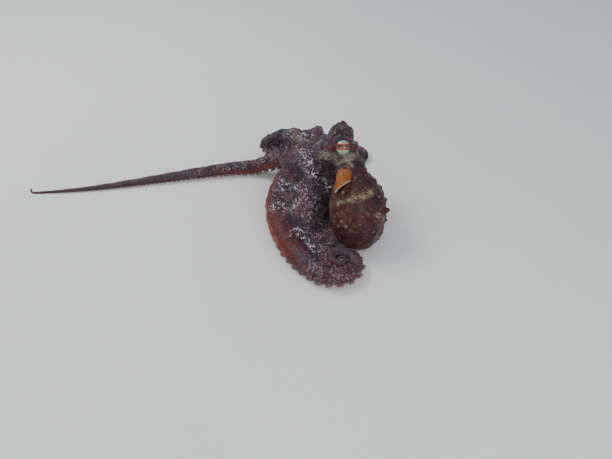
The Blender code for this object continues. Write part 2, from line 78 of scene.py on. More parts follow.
# Lids, and the sockets that the skin forms under the eyeballs
TURRET_RADIUS = 11.4
TURRET_SET_BACK = 3.0
LID_RADIUS = 10.0
LID_THICKNESS = 1.6
LID_VARIETY = 0.22
LID_FORWARD = 3.0
SOCKET_RADIUS = 8.1
SOCKET_DEGREES = 62
SOCKET_SPARE = 1.1

# Head and neck, with the neck as middle points and radii
HEAD_CENTRE = (-7, 16, 71)
HEAD_SIZE = (25, 20, 16)
BROW = (-2, 27, 84)
BROW_SIZE = (14.5, 11, 13.5)
THROAT = ((-6, 13, 60, 14), (5, -1, 56.5, 16), (10, -17, 58, 16), (13, -33, 57, 15))
NECK = ((2, 16, 65, 17), (9, -1, 65, 14), (12, -16, 68, 13.5), (13.5, -34, 61.5, 15.5))
ARM_NECK = ((-6, 16, 70, 15), (-22, 19, 60.5, 15.5), (-34, 21, 50, 18))

# Horn-like flaps of skin over the eyes: foot, tip and foot radius, and how they narrow to the tip
HORNS = (
    ((-1, 27, 88), (1, 31, 101.5), 8.5),
    ((-9, 25, 84), (-13, 27, 91), 5),
    ((-4, 6, 88), (-5, 9, 96), 4.5),
    ((12, 10, 78), (17, 11, 84), 4.5),
)
HORN_ROOT = -0.35
HORN_PROFILE = ((-0.35, 1.15), (0, 1.0), (0.55, 0.66), (0.9, 0.36), (1, 0.12))

# Mantle, a soft egg along a line that leans down from the neck, with flaps at shares and degrees of it
MANTLE_CENTRE = (15.5, -56.5, 38.5)
MANTLE_LEAN = (0.10, -0.70, -0.70)
MANTLE_FRONT = 38
MANTLE_BACK = 46.5
MANTLE_WIDTH = 32
MANTLE_DEPTH = 29.5
MANTLE_MOUTH = 0.54
MANTLE_FULLNESS = 2.3
MANTLE_HORNS = ((-0.55, 20), (-0.42, -8), (-0.30, 32), (-0.18, 4), (0.12, 24), (0.30, -6))
MANTLE_HORN_HEIGHT = 5.2
MANTLE_HORN_RADIUS = 3.4
MANTLE_FLAT = 0.25

# Funnel, its wall, the plane of its slanting mouth, its lip and the floor of its bore, where its colours
# fade, and the sleeve of skin over its root
FUNNEL = (
    (6, -19, 67, 6.3), (2, -33, 75, 7.6), (-0.5, -44, 77.5, 8.3), (-2, -53, 74.5, 8.2),
    (-4.5, -60.5, 65.5, 7.3), (-6.5, -64.5, 56.5, 4.8))
FUNNEL_WALL = 1.5
FUNNEL_MOUTH = (-3, -57, 70.5)
FUNNEL_FACING = (0.58, -0.62, -0.53)
FUNNEL_LIP = 0.45
FUNNEL_STEPS = 90
FUNNEL_ROWS = 60
FUNNEL_SIDES = 48
FUNNEL_FLOOR_ROW = 18
FUNNEL_FLOOR_PLACE = 0.3
ROOT_FADE = (0.30, 0.62)
LIP_FADE = (-0.35, 0.35)
LIP_STRENGTH = 0.7
SLEEVE = 2.15
SLEEVE_STEPS = 101
SLEEVE_THICKNESS = (1.6, 1.0)

# Ring of arm bases round the mouth
CROWN = (-36, 22, 48)
CROWN_SIZE = (31, 31, 23.5)
RING = 12
RING_TILT = 0.35

# Arms: heading in degrees from +X, sizes in mm, legs of length and turn, then a coil to one side
ARMS = {
    "left_1": dict(
        heading=216, radius=13, length=305, taper=1.0, fullness=2.8, hold=0, descent=80, arch=0,
        legs=((35, 19), (30, 41), (60, 23), (36, 17), (18, 23), (24, 46)), coil=1, openness=2.0),
    "left_2": dict(
        heading=260, radius=13, length=189, taper=1.0, fullness=1.7, hold=0, descent=96, arch=2,
        legs=((24, 27), (34, -42), (34, 40), (18, 74)), coil=1, openness=2.0),
    "left_3": dict(
        heading=302, radius=10.5, length=175, taper=1.1, fullness=1.3, hold=0, descent=58, arch=6,
        legs=((36, 18), (28, 48)), coil=1, openness=2.8),
    "left_4": dict(
        heading=2, radius=9.5, length=155, taper=1.1, fullness=1.3, hold=0, descent=50, arch=0,
        legs=((30, 3), (15, 30)), coil=1, openness=2.4),
    "right_4": dict(
        heading=38, radius=10, length=195, taper=1.1, fullness=1.3, hold=0, descent=60, arch=4,
        legs=((50, 45), (30, -20)), coil=-1, openness=2.6),
    "right_3": dict(
        heading=72, radius=10.5, length=205, taper=1.1, fullness=1.3, hold=0, descent=78, arch=27,
        legs=((50, 35), (36, -20)), coil=-1, openness=2.8),
    "right_2": dict(
        heading=102, radius=11.5, length=205, taper=1.1, fullness=1.4, hold=8, descent=108, arch=20,
        legs=((32, 48), (24, 20), (16, -50)), coil=-1, openness=2.7),
    "right_1": dict(
        heading=140, radius=11, length=366, taper=1.15, fullness=1.0, hold=0, descent=95, arch=-6,
        legs=((45, 12), (50, 36), (60, 4), (90, 0), (90, -8), (19, 0), (12, -110)), coil=0, openness=3),
}
TIP_RADIUS = 0.9
STAND_OFF = 0.16
ROUTE_STEPS = 240
BEND_BLEND = 6

# Stretches, in mm from the ring, over which an arm rolls by some degrees, and over which it rises
ROLLS = {"left_1": (165, 225, 55)}
LIFTS = {"left_1": (215, 280, 12)}

# Web between neighbouring arms: how far it follows each, in mm from the ring, and how deep its edge bows
WEBS = {
    "left_1_2": ("left_1", "left_2", 205, 140, 0.10),
    "left_2_3": ("left_2", "left_3", 128, 84, 0.05),
    "left_3_4": ("left_3", "left_4", 58, 56, 0.34),
    "rear": ("left_4", "right_4", 56, 60, 0.30),
    "right_4_3": ("right_4", "right_3", 68, 70, 0.30),
    "right_3_2": ("right_3", "right_2", 72, 66, 0.14),
    "right_2_1": ("right_2", "right_1", 84, 78, 0.20),
    "front": ("right_1", "left_1", 56, 62, 0.36),
}
WEB_THICKNESS = 3.2
WEB_LIFT = 0.45
WEB_EDGE_POWER = 14
WEB_RIM_POWER = 0.3

# Free length of an arm, a tube that starts inside the skin of the body, sunk below it, and rises out
FREE_AFTER = 12
FREE_FROM = {
    name: max(sizes[2 + (sizes[1] == name)] for sizes in WEBS.values() if name in sizes[:2]) + FREE_AFTER
    for name in ARMS}
JOIN_BACK = 11
JOIN_DIVE = 1.2
JOIN_RISE = 5
JOIN_SWELL = 0.1
TUBE_STEP = 1.3
TUBE_SIDES = 24
BODY_STEP = 1.0
BODY_SIDES = 44

# Suckers: first place on an arm, where they sit in shares of its radius, smallest radius, spread of
# sizes, and the cup as rows of width, height, rim colour and side colour
BARE = {"right_2": 46}
BARE_USUAL = 22
BARE_TIP = 2
SUCKER_ASIDE = 0.40
SUCKER_SPARE = 0.35
SUCKER_LEAST = 0.42
SUCKER_VARIETY = 0.08
SUCKER_SIDES = 10
SUCKER_PROFILE = (
    (0.74, -1.10, 0.3, 1.0), (0.78, -0.35, 0.5, 1.0), (1.00, -0.06, 1.0, 0.4), (0.90, 0.00, 1.0, 0.0),
    (0.64, -0.16, 0.3, 0.0), (0.22, -0.50, 0.0, 0.0))

# Softening of the skin: its share in each round, what is left of that round the eyes, and where it fades
SOFT_SHARE = 0.5
SOFT_AT_EYES = 0.15
SOFT_FADE = (12, 18)

# Warts and slow folds: where they fade out at eyes and floor, the seed, spread, radii and heights of warts,
# where there are more or fewer of them, the arm radius from which both are full, the height, length, number
# and seed of the waves of the folds, and the level that no point goes under
CALM_AT_EYES = (9.6, 12.5)
CALM_AT_FLOOR = (0.6, 4)
WART_SEED = 11
WART_POWER = 2.2
WART_RADIUS = (1.5, 2.6)
WART_SHARE = (0.22, 0.78)
WART_LIMIT = (0.15, 1)
MORE_ON_MANTLE = 0.8
LESS_ON_SMOOTH = 0.7
FULL_WARTS_FROM = 9
FULL_FOLDS_FROM = 10
FOLDS = ((0.45, 16, 12, 1), (0.22, 6, 16, 2))
SKIN_FLOOR = 0.02

# Points that are compared with others at a time
CHUNK = 4000

# Bright margin of an arm: side (1 is the left of its heading), how far down it lies, where across the arm
# it starts and is full, the stretch over which it fades, and its strength
MARGINS = {
    "right_1": (1, 0.65, 0.50, 1.00, 80, 150, 0.8),
    "left_1": (-1, 0.25, -0.15, 1.0, 112, 165, 1.0),
    "left_2": (-1, 0.25, 0.30, 1.0, 60, 110, 0.3),
    "right_3": (1, 0.90, 0.65, 1.0, 130, 200, 0.4),
    "right_4": (-1, 0.90, 0.65, 1.0, 130, 200, 0.4),
    "left_3": (-1, 0.90, 0.65, 1.0, 130, 200, 0.4),
    "left_4": (-1, 0.90, 0.65, 1.0, 130, 200, 0.4),
}

# Where masks of the skin rise from 0 to 1, in mm or, for the turn downwards and the mantle, in shares
FADES = {
    "off_arm": (0.8, 4.0),
    "downwards": (0.72, 0.95),
    "suckers_start": (20, 40),
    "near_arm_end": (180, 215),
    "margin_start": (8, 40),
    "off_margin": (0.5, 7),
    "off_mantle": (1.06, 1.22),
    "lit_side": (-14, 22),
    "near_arm_smooth": (200, 232),
    "arm_smooth": (110, 190),
}
NEAR_ARM_LESS = 0.75
MARGIN_LESS = 0.8

# Marks on the skin: under each kind first ends, last ends and radii in mm, then how their edges waver
MARKS = {
    "bar": (
        ((-18, 1, 82), (-9, -4, 84), 3.8), ((10, -3, 84), (16, 7, 78), 2.7)),
    # Dark: blotches of the skin, and painted shade in the crease between head and mantle and on the
    # mantle's right and lower right side
    "dark": (
        ((-9, 3, 93), (9, 4, 93), 3.6), ((36, -61, 62), (38, -66, 58), 5.0),
        ((18, -48, 75), (27, -54, 72), 4.5), ((30, -92, 24), (38, -86, 31), 6.0),
        ((12, -24, 80), (18, -27, 78), 4.4), ((-95, 75, 41), (-75, 64, 57), 9.0),
        ((-62, -58, 27), (-50, -66, 26), 6.0), ((-62, 2, 55), (-50, -10, 52), 7.0)),
    "white": (((-43, 50, 69), (-40, 51, 69), 1.5),),
    "cream": (
        ((-14, 22, 88), (-9, 20, 92), 2.0), ((-2, 23, 96), (4, 26, 97), 2.2),
        ((-60, 50, 64), (-44, 40, 67), 3.2), ((-44, 40, 67), (-26, 17, 81), 3.0),
        ((-8, -68, 56), (8, -71, 63.5), 2.4), ((8, -71, 63.5), (31, -62, 66), 4.2),
        ((37, -78, 47), (43, -76, 38), 3.8), ((40, -46, 63), (43, -52, 60), 4.5)),
    "olive": (
        ((-24, 1, 71), (-4, -5, 72), 6.6), ((-6, -8, 72), (8, -13, 77), 7.2),
        ((2, -16, 77), (7, -32, 81), 4.0)),
    "calm": (
        ((-9, 24, 92), (5, 28, 98), 13.0), ((-11, -2, 88), (10, -2, 88), 9.0),
        ((0, -34, 82), (3, -40, 83), 8.0)),
    "red": (
        ((-78, -56, 25), (-63, -92, 26), 11.0), ((-58, -90, 25), (-46, -103, 24), 8.0)),
    # Grey: painted light shining through the thin skin along the mantle's edges
    "grey": (
        ((-15, -58, 50), (-13, -74, 22), 4.5), ((31, -90, 13), (40, -83, 34), 5.0)),
    "pale": (
        ((-82, -42, 29), (-46, -41, 39), 6.0), ((-67, -93, 24), (-52, -72, 24), 3.4),
        ((-52, -74, 24), (-34, -101, 17), 3.4), ((-48, 17, 67), (-36, -10, 58), 5.0),
        ((-34, -12, 57), (-17, -21, 38), 7.0), ((-69, -20, 44), (-44, -31, 45), 6.0),
        ((-50, 50, 66), (-36, 48, 70), 4.0), ((-25, -135, 12), (10, -128, 12), 5.0)),
    "smooth": (((-72, -98, 20), (-50, -117, 22), 11.0),),
}
MARK_WAVES = ((0.35, 9, 9, 5), (0.25, 4, 9, 6))
MARK_WOBBLE = 0.45
MARK_WOBBLES = {"bar": 0.15, "olive": 0.15}
MARK_EDGE = (0.65, 1.35)
MARK_EDGES = {"olive": (0.45, 1.35)}

# Camera and lights: places in mm from the floor under the left eye or, for the lights, in metres from the
# origin, size in metres and share of the main light's power
CAMERA = (-42.55, -576.25, 475.19)
CAMERA_DROP = 42
FOCAL_PIXELS = 600
PHOTO_WIDTH = 612
SENSOR = 36
LIGHTS = {"key": ((-0.55, 0.35, 0.95), 0.55, 1.0), "fill": ((0.5, -0.9, 0.7), 1.0, 0.8)}
SKY = (0.85, 0.92, 1.0, 1)
SKY_STRENGTH = 0.7
FLOOR_CORNERS = ((-6000, -4000, -0.05), (6000, -4000, -0.05), (6000, 8000, -0.05), (-6000, 8000, -0.05))

# Place of the floor under the left eye in the frame of the solids, and the nodes that the skin replaces
SHIFT = np.array((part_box("eye_left")[0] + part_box("eye_left")[1]) / 2) - np.array(EYES["left"]) * MM
SKIN_NODES = [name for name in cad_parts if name.startswith(("arm_", "web_", "mantle", "head"))]


def unit(vector):
    """The vector scaled to length one."""
    vector = np.asarray(vector, dtype=float)
    return vector / np.linalg.norm(vector)


def step_up(values, first, last):
    """Values taken from 0 at the first limit to 1 at the last along an S-shaped curve."""
    part = np.clip((values - first) / (last - first), 0, 1)
    return part * part * (3 - 2 * part)


def turns(sides):
    """Equal steps round a full turn, in radians."""
    return np.arange(sides) * 2 * math.pi / sides


def along_line(places, along, table):
    """Rows of a table that is known at some distances, read at others by straight steps between."""
    return np.stack([np.interp(places, along, column) for column in table.T], axis=-1)


def frames(points):
    """Side, up and forward directions at each point of a line that is never upright."""
    forward = np.gradient(points, axis=0)
    forward /= np.linalg.norm(forward, axis=1, keepdims=True)
    side = np.cross((0.0, 0.0, 1.0), forward)
    side /= np.linalg.norm(side, axis=1, keepdims=True)
    return side, np.cross(forward, side), forward


def loft(rings, start=None, end=None):
    """Points and triangles of a closed surface: row number by turn, with a fan to a point at each end."""
    rows, sides, _ = rings.shape
    start = rings[0].mean(axis=0) if start is None else start
    end = rings[-1].mean(axis=0) if end is None else end
    first = (np.arange(rows - 1) * sides)[:, None]
    here = np.arange(sides)[None]
    there = (here + 1) % sides
    a, b = first + here, first + there
    turn = np.arange(sides)
    last = (rows - 1) * sides
    faces = np.concatenate([
        np.stack([a, b, b + sides], axis=-1).reshape(-1, 3),
        np.stack([a, b + sides, a + sides], axis=-1).reshape(-1, 3),
        np.stack([np.full(sides, rows * sides), (turn + 1) % sides, turn], axis=-1),
        np.stack([np.full(sides, rows * sides + 1), last + turn, last + (turn + 1) % sides], axis=-1)])
    return np.concatenate([rings.reshape(-1, 3), [start, end]]), faces


def circles(middles, across, upward, radii, sides):
    """Middle + radius x (cosine of turn x across + sine of turn x up), round each middle."""
    turn = turns(sides)[None, :, None]
    ring = np.cos(turn) * across[:, None] + np.sin(turn) * upward[:, None]
    return middles[:, None] + radii[:, None, None] * ring


def rings_round(points, radii, sides):
    """Circles about a line, square to it."""
    side, up, _ = frames(points)
    return circles(points, side, up, radii, sides)


def egg(centre, axes, rings=40, sides=56):
    """Centre - cosine of tilt x length + sine of tilt x (cosine of turn x across + sine of turn x up)."""
    across, upward, along = axes
    tilt = np.linspace(0, math.pi, rings + 1)[1:-1, None, None]
    turn = turns(sides)[None, :, None]
    shell = centre - np.cos(tilt) * along + np.sin(tilt) * (np.cos(turn) * across + np.sin(turn) * upward)
    return loft(shell, centre - along, centre + along)


def box_egg(centre, size):
    """An egg with its three half sizes along X, Y and Z."""
    return egg(np.array(centre, dtype=float), np.diag(np.array(size, dtype=float))[[1, 2, 0]])


def course_points(course, steps):
    """A smooth line through the middle points of a course, and its radii: cubic between stations."""
    places = np.array(course, dtype=float)
    knots = np.arange(len(places))
    slope = np.gradient(places, axis=0)
    place = np.linspace(0, knots[-1], steps)
    before = np.minimum(place.astype(int), knots[-1] - 1)
    part = (place - before)[:, None]
    a, b = places[before], places[before + 1]
    m, n = slope[before], slope[before + 1]
    line = (a * (1 - part) ** 2 * (1 + 2 * part) + b * part ** 2 * (3 - 2 * part)
            + m * part * (1 - part) ** 2 - n * part ** 2 * (1 - part))
    return line[:, :3], line[:, 3]


def course_tube(course, steps=40, sides=48):
    """A tube of changing width along a course."""
    points, radii = course_points(course, steps)
    return loft(rings_round(points, radii, sides))


def horn(foot, tip, radius):
    """A blunt cone of skin: circles that narrow from the foot to a round tip."""
    foot, tip = np.array(foot, dtype=float), np.array(tip, dtype=float)
    share = np.linspace(HORN_ROOT, 1, 18)
    line = foot + share[:, None] * (tip - foot)
    width = radius * np.interp(share, *zip(*HORN_PROFILE))
    return loft(rings_round(line, width, 20))


def box_blur(values, reach):
    """Each value replaced by the mean of its neighbours on both sides."""
    padded = np.pad(values, reach, mode="edge")
    return np.convolve(padded, np.ones(2 * reach + 1) / (2 * reach + 1), mode="valid")


def arm_route(name):
    """Middle points, radii and distances along one arm: its heading summed from the turns of its legs."""
    arm = ARMS[name]
    along = np.linspace(0, arm["length"], ROUTE_STEPS + 1)
    step = along[1]
    share = along / arm["length"]
    radii = TIP_RADIUS + (arm["radius"] - TIP_RADIUS) * (1 - share ** arm["fullness"]) ** arm["taper"]
    ends = np.cumsum([length for length, _ in arm["legs"]])
    bends = np.array([math.radians(turn) / length for length, turn in arm["legs"]])
    bend = bends[np.minimum(np.searchsorted(ends, along, side="right"), len(bends) - 1)]
    if arm["coil"]:
        bend = np.where(along > ends[-1], arm["coil"] / (arm["openness"] * radii + 1), bend)
    bend = box_blur(bend, int(BEND_BLEND / step))
    start = math.radians(arm["heading"])
    heading = start + np.concatenate([[0], np.cumsum((bend[1:] + bend[:-1]) / 2 * step)])
    way = np.stack([np.cos(heading), np.sin(heading)], axis=1)
    out = np.array((math.cos(start), math.sin(start), -RING_TILT * math.cos(start)))
    foot = np.array(CROWN) + RING * out
    flat = foot[:2] + np.concatenate([[[0, 0]], np.cumsum((way[1:] + way[:-1]) / 2 * step, axis=0)])
    lying = radii * (1 + STAND_OFF)
    fall = np.clip((along - arm["hold"]) / (arm["descent"] - arm["hold"]), 0, 1)
    height = lying + (foot[2] - lying) * (1 - fall * fall * (3 - 2 * fall))
    height += arm["arch"] * np.sin(math.pi * np.clip(along / arm["descent"], 0, 1))
    first, last, lift = LIFTS.get(name, (0, 1, 0))
    height += lift * step_up(along, first, last)
    return np.column_stack([flat, height]), radii, along


ROUTES = {name: arm_route(name) for name in ARMS}


def arm_tube(name, first, last, step, sides, dive=0.0):
    """Circles along an arm between two distances; a dive sinks the first few mm by that depth."""
    points, radii, along = ROUTES[name]
    places = np.linspace(first, last, max(4, int((last - first) / step)))
    middle, across, upward, _ = (along_line(places, along, table) for table in (points, *frames(points)))
    radius = np.interp(places, along, radii)
    if dive:
        radius = radius + JOIN_SWELL - dive * (1 - step_up(places, first, first + JOIN_RISE))
    return circles(middle, across, upward, radius, sides)


def mantle_frame():
    """The mantle's middle and its side, up and backward directions."""
    back = unit(MANTLE_LEAN)
    side = unit(np.cross((0.0, 0.0, 1.0), back))
    return np.array(MANTLE_CENTRE), side, np.cross(back, side), back


def mantle_width(share):
    """The mantle's half width at a share of the way to its front (negative) or back end, from 0 to 1."""
    front = math.sqrt(1 - MANTLE_MOUTH ** 2)
    return np.where(share < 0, np.sqrt(np.clip(1 - (front * share) ** 2, 0, 1)),
                    np.clip(1 - np.abs(share) ** MANTLE_FULLNESS, 0, 1) ** 0.5)


def mantle_shell(front=24, rear=43, sides=88):
    """The mantle's egg, its rows closer towards the ends, laid flat where it touches the floor."""
    centre, side, up, back = mantle_frame()
    share = np.concatenate([np.linspace(-1, 0, front), np.sin(np.linspace(0, math.pi / 2, rear - 1))[1:-1]])
    reach = np.where(share < 0, MANTLE_FRONT, MANTLE_BACK) * share
    width = mantle_width(share)
    turn = turns(sides)[:, None]
    oval = np.cos(turn) * side * MANTLE_WIDTH + np.sin(turn) * up * MANTLE_DEPTH
    shell = centre + reach[:, None, None] * back + width[:, None, None] * oval
    shell[..., 2] = np.maximum(shell[..., 2], MANTLE_FLAT)
    return loft(shell, end=centre + MANTLE_BACK * back)


def mantle_horns():
    """The flaps of skin along the mantle."""
    centre, side, up, back = mantle_frame()
    horns = []
    for share, turn in MANTLE_HORNS:
        angle = math.radians(turn)
        reach = MANTLE_FRONT if share < 0 else MANTLE_BACK
        skin = centre + share * reach * back + float(mantle_width(np.array(share))) * (
            math.cos(angle) * side * MANTLE_WIDTH + math.sin(angle) * up * MANTLE_DEPTH)
        tip = skin + MANTLE_HORN_HEIGHT * unit(skin - centre)
        horns.append(horn(skin, tip, MANTLE_HORN_RADIUS))
    return horns


def gaze(eye):
    """The direction that an eye looks in, and the directions across and up its face."""
    look = unit((-0.05, -GAZE_ASIDE if eye == "left" else GAZE_ASIDE, GAZE_UP))
    across = unit(np.cross((0.0, 0.0, 1.0), look))
    return look, across, np.cross(look, across)


def lid(eye):
    """The fold round an eye: a ring whose thickness grows towards its top."""
    look, across, upward = gaze(eye)
    middle = np.array(EYES[eye]) + LID_FORWARD * look
    turn = turns(72)[:, None, None]
    spin = turns(16)[None, :, None]
    thick = LID_THICKNESS * (1 + LID_VARIETY * np.sin(turn))
    out = np.cos(turn) * across + np.sin(turn) * upward
    rings = middle + out * (LID_RADIUS + thick * np.cos(spin)) + look * thick * np.sin(spin)
    rows, sides, _ = rings.shape
    first = (np.arange(rows) * sides)[:, None]
    a, b = first + np.arange(sides), first + (np.arange(sides) + 1) % sides
    c, d = np.roll(b, -1, axis=0), np.roll(a, -1, axis=0)
    halves = [np.stack(corners, axis=-1).reshape(-1, 3) for corners in ((a, c, b), (a, d, c))]
    return rings.reshape(-1, 3), np.concatenate(halves)


def web_sheet(first, second, reach_first, reach_second, bow, rows=60, columns=41):
    """Between two arms: arm point x (1 - share) + neighbour's x share, out to an edge that bows in."""
    share = (1 - np.cos(np.linspace(0, math.pi, columns))) / 2
    ends = []
    for name, reach in ((first, reach_first), (second, reach_second)):
        points, radii, along = ROUTES[name]
        points = points + np.array((0, 0, WEB_LIFT)) * radii[:, None]
        out = np.linspace(0, 1, rows)[:, None] * (1 - bow * 4 * share * (1 - share))[None] * reach
        ends.append(along_line(out, along, points))
    sheet = ends[0] * (1 - share[None, :, None]) + ends[1] * share[None, :, None]
    normal = np.cross(np.gradient(sheet, axis=0), np.gradient(sheet, axis=1))
    normal /= np.linalg.norm(normal, axis=2, keepdims=True) + 1e-9
    flip = np.where(normal[..., 2:].mean() < 0, -1, 1)
    edge = np.sqrt(np.clip(1 - np.linspace(0, 1, rows) ** WEB_EDGE_POWER, 0, 1))[:, None, None]
    across = np.sin(np.linspace(0, math.pi, columns))[None, :, None] ** WEB_RIM_POWER
    thick = WEB_THICKNESS / 2 * edge * across
    upper = sheet + normal * thick * flip
    lower = sheet - normal * thick * flip
    shell = np.concatenate([upper, lower[:, -2:0:-1]], axis=1)
    return loft(shell[:, ::-1] if flip > 0 else shell)


def plane_waves(points, length, count, seed):
    """A smooth uneven field: the mean of sines of the distance along seeded directions."""
    random = np.random.default_rng(seed)
    ways = random.normal(size=(count, 3))
    lengths = length * random.uniform(0.75, 1.5, count)
    ways *= (2 * math.pi / lengths / np.linalg.norm(ways, axis=1))[:, None]
    return np.sin(points @ ways.T + random.uniform(0, 2 * math.pi, count)).sum(axis=1) / math.sqrt(count)


def squares(points, centres):
    """Square distances of the points from all centres, for some rows of points at a time."""
    for first in range(0, len(points), CHUNK):
        some = points[first:first + CHUNK]
        square = (some ** 2).sum(1)[:, None] + (centres ** 2).sum(1)[None] - 2 * some @ centres.T
        yield slice(first, first + CHUNK), square


def eye_distance(points):
    """Distance from each point to the middle of the nearer eye."""
    return np.min([np.linalg.norm(points - np.array(middle), axis=1) for middle in EYES.values()], axis=0)


def capsule_distance(points, first, last):
    """Distance from each point to the straight line between two ends."""
    first, last = np.array(first, dtype=float), np.array(last, dtype=float)
    way = last - first
    part = np.clip((points - first) @ way / (way @ way), 0, 1)
    return np.linalg.norm(points - first - part[:, None] * way, axis=1)


def arm_places(spots):
    """For each spot, the nearest arm surface: gap, arm number, distance along it, side and up shares."""
    middles, radii, along = map(np.concatenate, zip(*ROUTES.values()))
    sides, ups, _ = map(np.concatenate, zip(*(frames(points) for points, _, _ in ROUTES.values())))
    number = np.repeat(np.arange(len(ARMS)), ROUTE_STEPS + 1)
    nearest = np.empty(len(spots), dtype=int)
    for rows, square in squares(spots, middles):
        nearest[rows] = np.argmin(np.sqrt(np.maximum(square, 0)) - radii, axis=1)
    offset = spots - middles[nearest]
    distance = np.linalg.norm(offset, axis=1) + 1e-9
    side = (offset * sides[nearest]).sum(1) / distance
    up = (offset * ups[nearest]).sum(1) / distance
    return distance - radii[nearest], number[nearest], along[nearest], side, up, radii[nearest]


def mantle_share(points):
    """How far each point is out from the mantle's middle line, 1 at its skin."""
    centre, side, up, back = mantle_frame()
    offset = points - centre
    length = offset @ back
    length = length / np.where(length < 0, MANTLE_FRONT / math.sqrt(1 - MANTLE_MOUTH ** 2), MANTLE_BACK)
    return np.sqrt((offset @ side / MANTLE_WIDTH) ** 2 + (offset @ up / MANTLE_DEPTH) ** 2 + length ** 2)


def fade(values, name):
    """Values taken from 0 to 1 over a named stretch."""
    return step_up(values, *FADES[name])


def edge_mask(gap, number, place, side, up):
    """The bright margins: how far a point lies to an arm's lit side, faded out along the arm."""
    margin = np.zeros(len(gap))
    for arm, (turn, lean, low, high, start, end, strength) in MARGINS.items():
        here = number == list(ARMS).index(arm)
        across = (side[here] * turn - lean * up[here]) / math.hypot(1, lean)
        shown = strength * (1 - MARGIN_LESS * step_up(place[here], start, end))
        shown = shown * fade(place[here], "margin_start") * (1 - fade(gap[here], "off_margin"))
        margin[here] = np.clip((across - low) / (high - low), 0, 1) * shown
    return margin


def skin_masks(points):
    """Masks from 0 to 1 that tell the skin's material what each point lies on and where light and shade are
    painted on it, the radius of the nearest arm, and how far the point is on that arm."""
    gap, number, place, side, up, radius = arm_places(points)
    on_arm = 1 - fade(gap, "off_arm")
    near_arm = number == list(ARMS).index("left_1")
    first, last, roll = ROLLS["left_1"]
    rolled = np.where(near_arm, step_up(place, first, last) * math.radians(roll), 0)
    down = np.cos(np.arctan2(-side, -up) - rolled)
    under = on_arm * fade(down, "downwards") * fade(place, "suckers_start")
    mantle = 1 - fade(mantle_share(points), "off_mantle")
    centre, across, _, _ = mantle_frame()
    masks = {
        "under": under * np.where(near_arm, 1 - NEAR_ARM_LESS * fade(place, "near_arm_end"), 1),
        "margin": edge_mask(gap, number, place, side, up) * (1 - mantle),
        "mantle": mantle,
        # glow: painted light, lighter on the mantle's left side, which faces the key light
        "glow": mantle * fade(-((points - centre) @ across), "lit_side"),
        "smooth": on_arm * np.where(near_arm, fade(place, "near_arm_smooth"), fade(place, "arm_smooth")),
    }
    wobble = sum(height * plane_waves(points, *wave) for height, *wave in MARK_WAVES)
    for kind, marks in MARKS.items():
        waver = wobble * MARK_WOBBLES.get(kind, MARK_WOBBLE)
        for start, end, reach in marks:
            far = capsule_distance(points, start, end) / reach + waver
            mark = 1 - step_up(far, *MARK_EDGES.get(kind, MARK_EDGE))
            masks[kind] = np.maximum(masks.get(kind, 0), mark)
    return masks, radius, on_arm * (1 - mantle)


def face_normals(points, faces):
    """The outward direction at each point, summed from the faces round it."""
    a, b, c = points[faces[:, 0]], points[faces[:, 1]], points[faces[:, 2]]
    flat = np.cross(b - a, c - a)
    total = np.zeros_like(points)
    for corner in range(3):
        for axis in range(3):
            total[:, axis] += np.bincount(faces[:, corner], weights=flat[:, axis], minlength=len(points))
    return total / (np.linalg.norm(total, axis=1, keepdims=True) + 1e-12)


def soften(points, faces, rounds, share):
    """Moves each point a share of the way to the mean of its neighbours, over and over."""
    pairs = np.concatenate([faces[:, [0, 1]], faces[:, [1, 2]], faces[:, [2, 0]]])
    pairs = np.unique(np.sort(pairs, axis=1), axis=0)
    both = np.concatenate([pairs, pairs[:, ::-1]])
    degree = np.bincount(both[:, 0], minlength=len(points))[:, None]
    for _ in range(rounds):
        mean = np.stack([np.bincount(both[:, 0], weights=points[both[:, 1], axis], minlength=len(points))
                         for axis in range(3)], axis=1) / degree
        points = points + share[:, None] * (mean - points)
    return points


def warts(points, centres, radii, heights):
    """Round bumps: height x (1 - (distance / radius) squared) squared, the tallest at each point."""
    lift = np.empty(len(points))
    for rows, square in squares(points, centres):
        lift[rows] = (heights * np.clip(1 - square / radii ** 2, 0, 1) ** 2).max(axis=1)
    return lift


def main_shell(points, faces):
    """The largest joined part of a mesh: the lowest point number of each part spreads along its edges."""
    first, second = np.concatenate([faces[:, [0, 1]], faces[:, [1, 2]]]).T
    label, before = np.arange(len(points)), None
    while before is None or (label != before).any():
        before = label
        low = np.minimum(label[first], label[second])
        label = label.copy()
        np.minimum.at(label, first, low)
        np.minimum.at(label, second, low)
        label = label[label]
    part = label[faces[:, 0]]
    faces = faces[part == np.bincount(part).argmax()]
    used, number = np.unique(faces, return_inverse=True)
    return points[used], number.reshape(-1, 3)


def placed(points):
    """Points in metres, in the frame of the solids."""
    return points * MM + SHIFT


def body_soup():
    """Every egg, tube and sheet of the body, overlapping, before they become one skin."""
    forms = [mantle_shell(), *mantle_horns(), box_egg(HEAD_CENTRE, HEAD_SIZE), box_egg(BROW, BROW_SIZE)]
    forms += [course_tube(course) for course in (NECK, ARM_NECK, THROAT)]
    for eye in EYES:
        look, _, _ = gaze(eye)
        back = np.array(EYES[eye]) - TURRET_SET_BACK * look
        forms += [egg(back, np.eye(3) * TURRET_RADIUS), lid(eye)]
    forms += [horn(*sizes) for sizes in HORNS]
    line, radii = course_points(FUNNEL, SLEEVE_STEPS)
    last = int(SLEEVE * (SLEEVE_STEPS - 1) / (len(FUNNEL) - 1))
    width = radii[:last] + np.linspace(*SLEEVE_THICKNESS, last)
    forms += [loft(rings_round(line[:last], width, FUNNEL_SIDES)), box_egg(CROWN, CROWN_SIZE)]
    forms += [loft(arm_tube(name, 0, FREE_FROM[name], BODY_STEP, BODY_SIDES)) for name in ARMS]
    forms += [web_sheet(*sizes) for sizes in WEBS.values()]
    return forms


def together(forms):
    """Several shapes as one list of points and one of triangles."""
    starts = np.concatenate([[0], np.cumsum([len(points) for points, _ in forms])[:-1]])
    points = np.concatenate([points for points, _ in forms])
    return points, np.concatenate([faces + start for (_, faces), start in zip(forms, starts)])


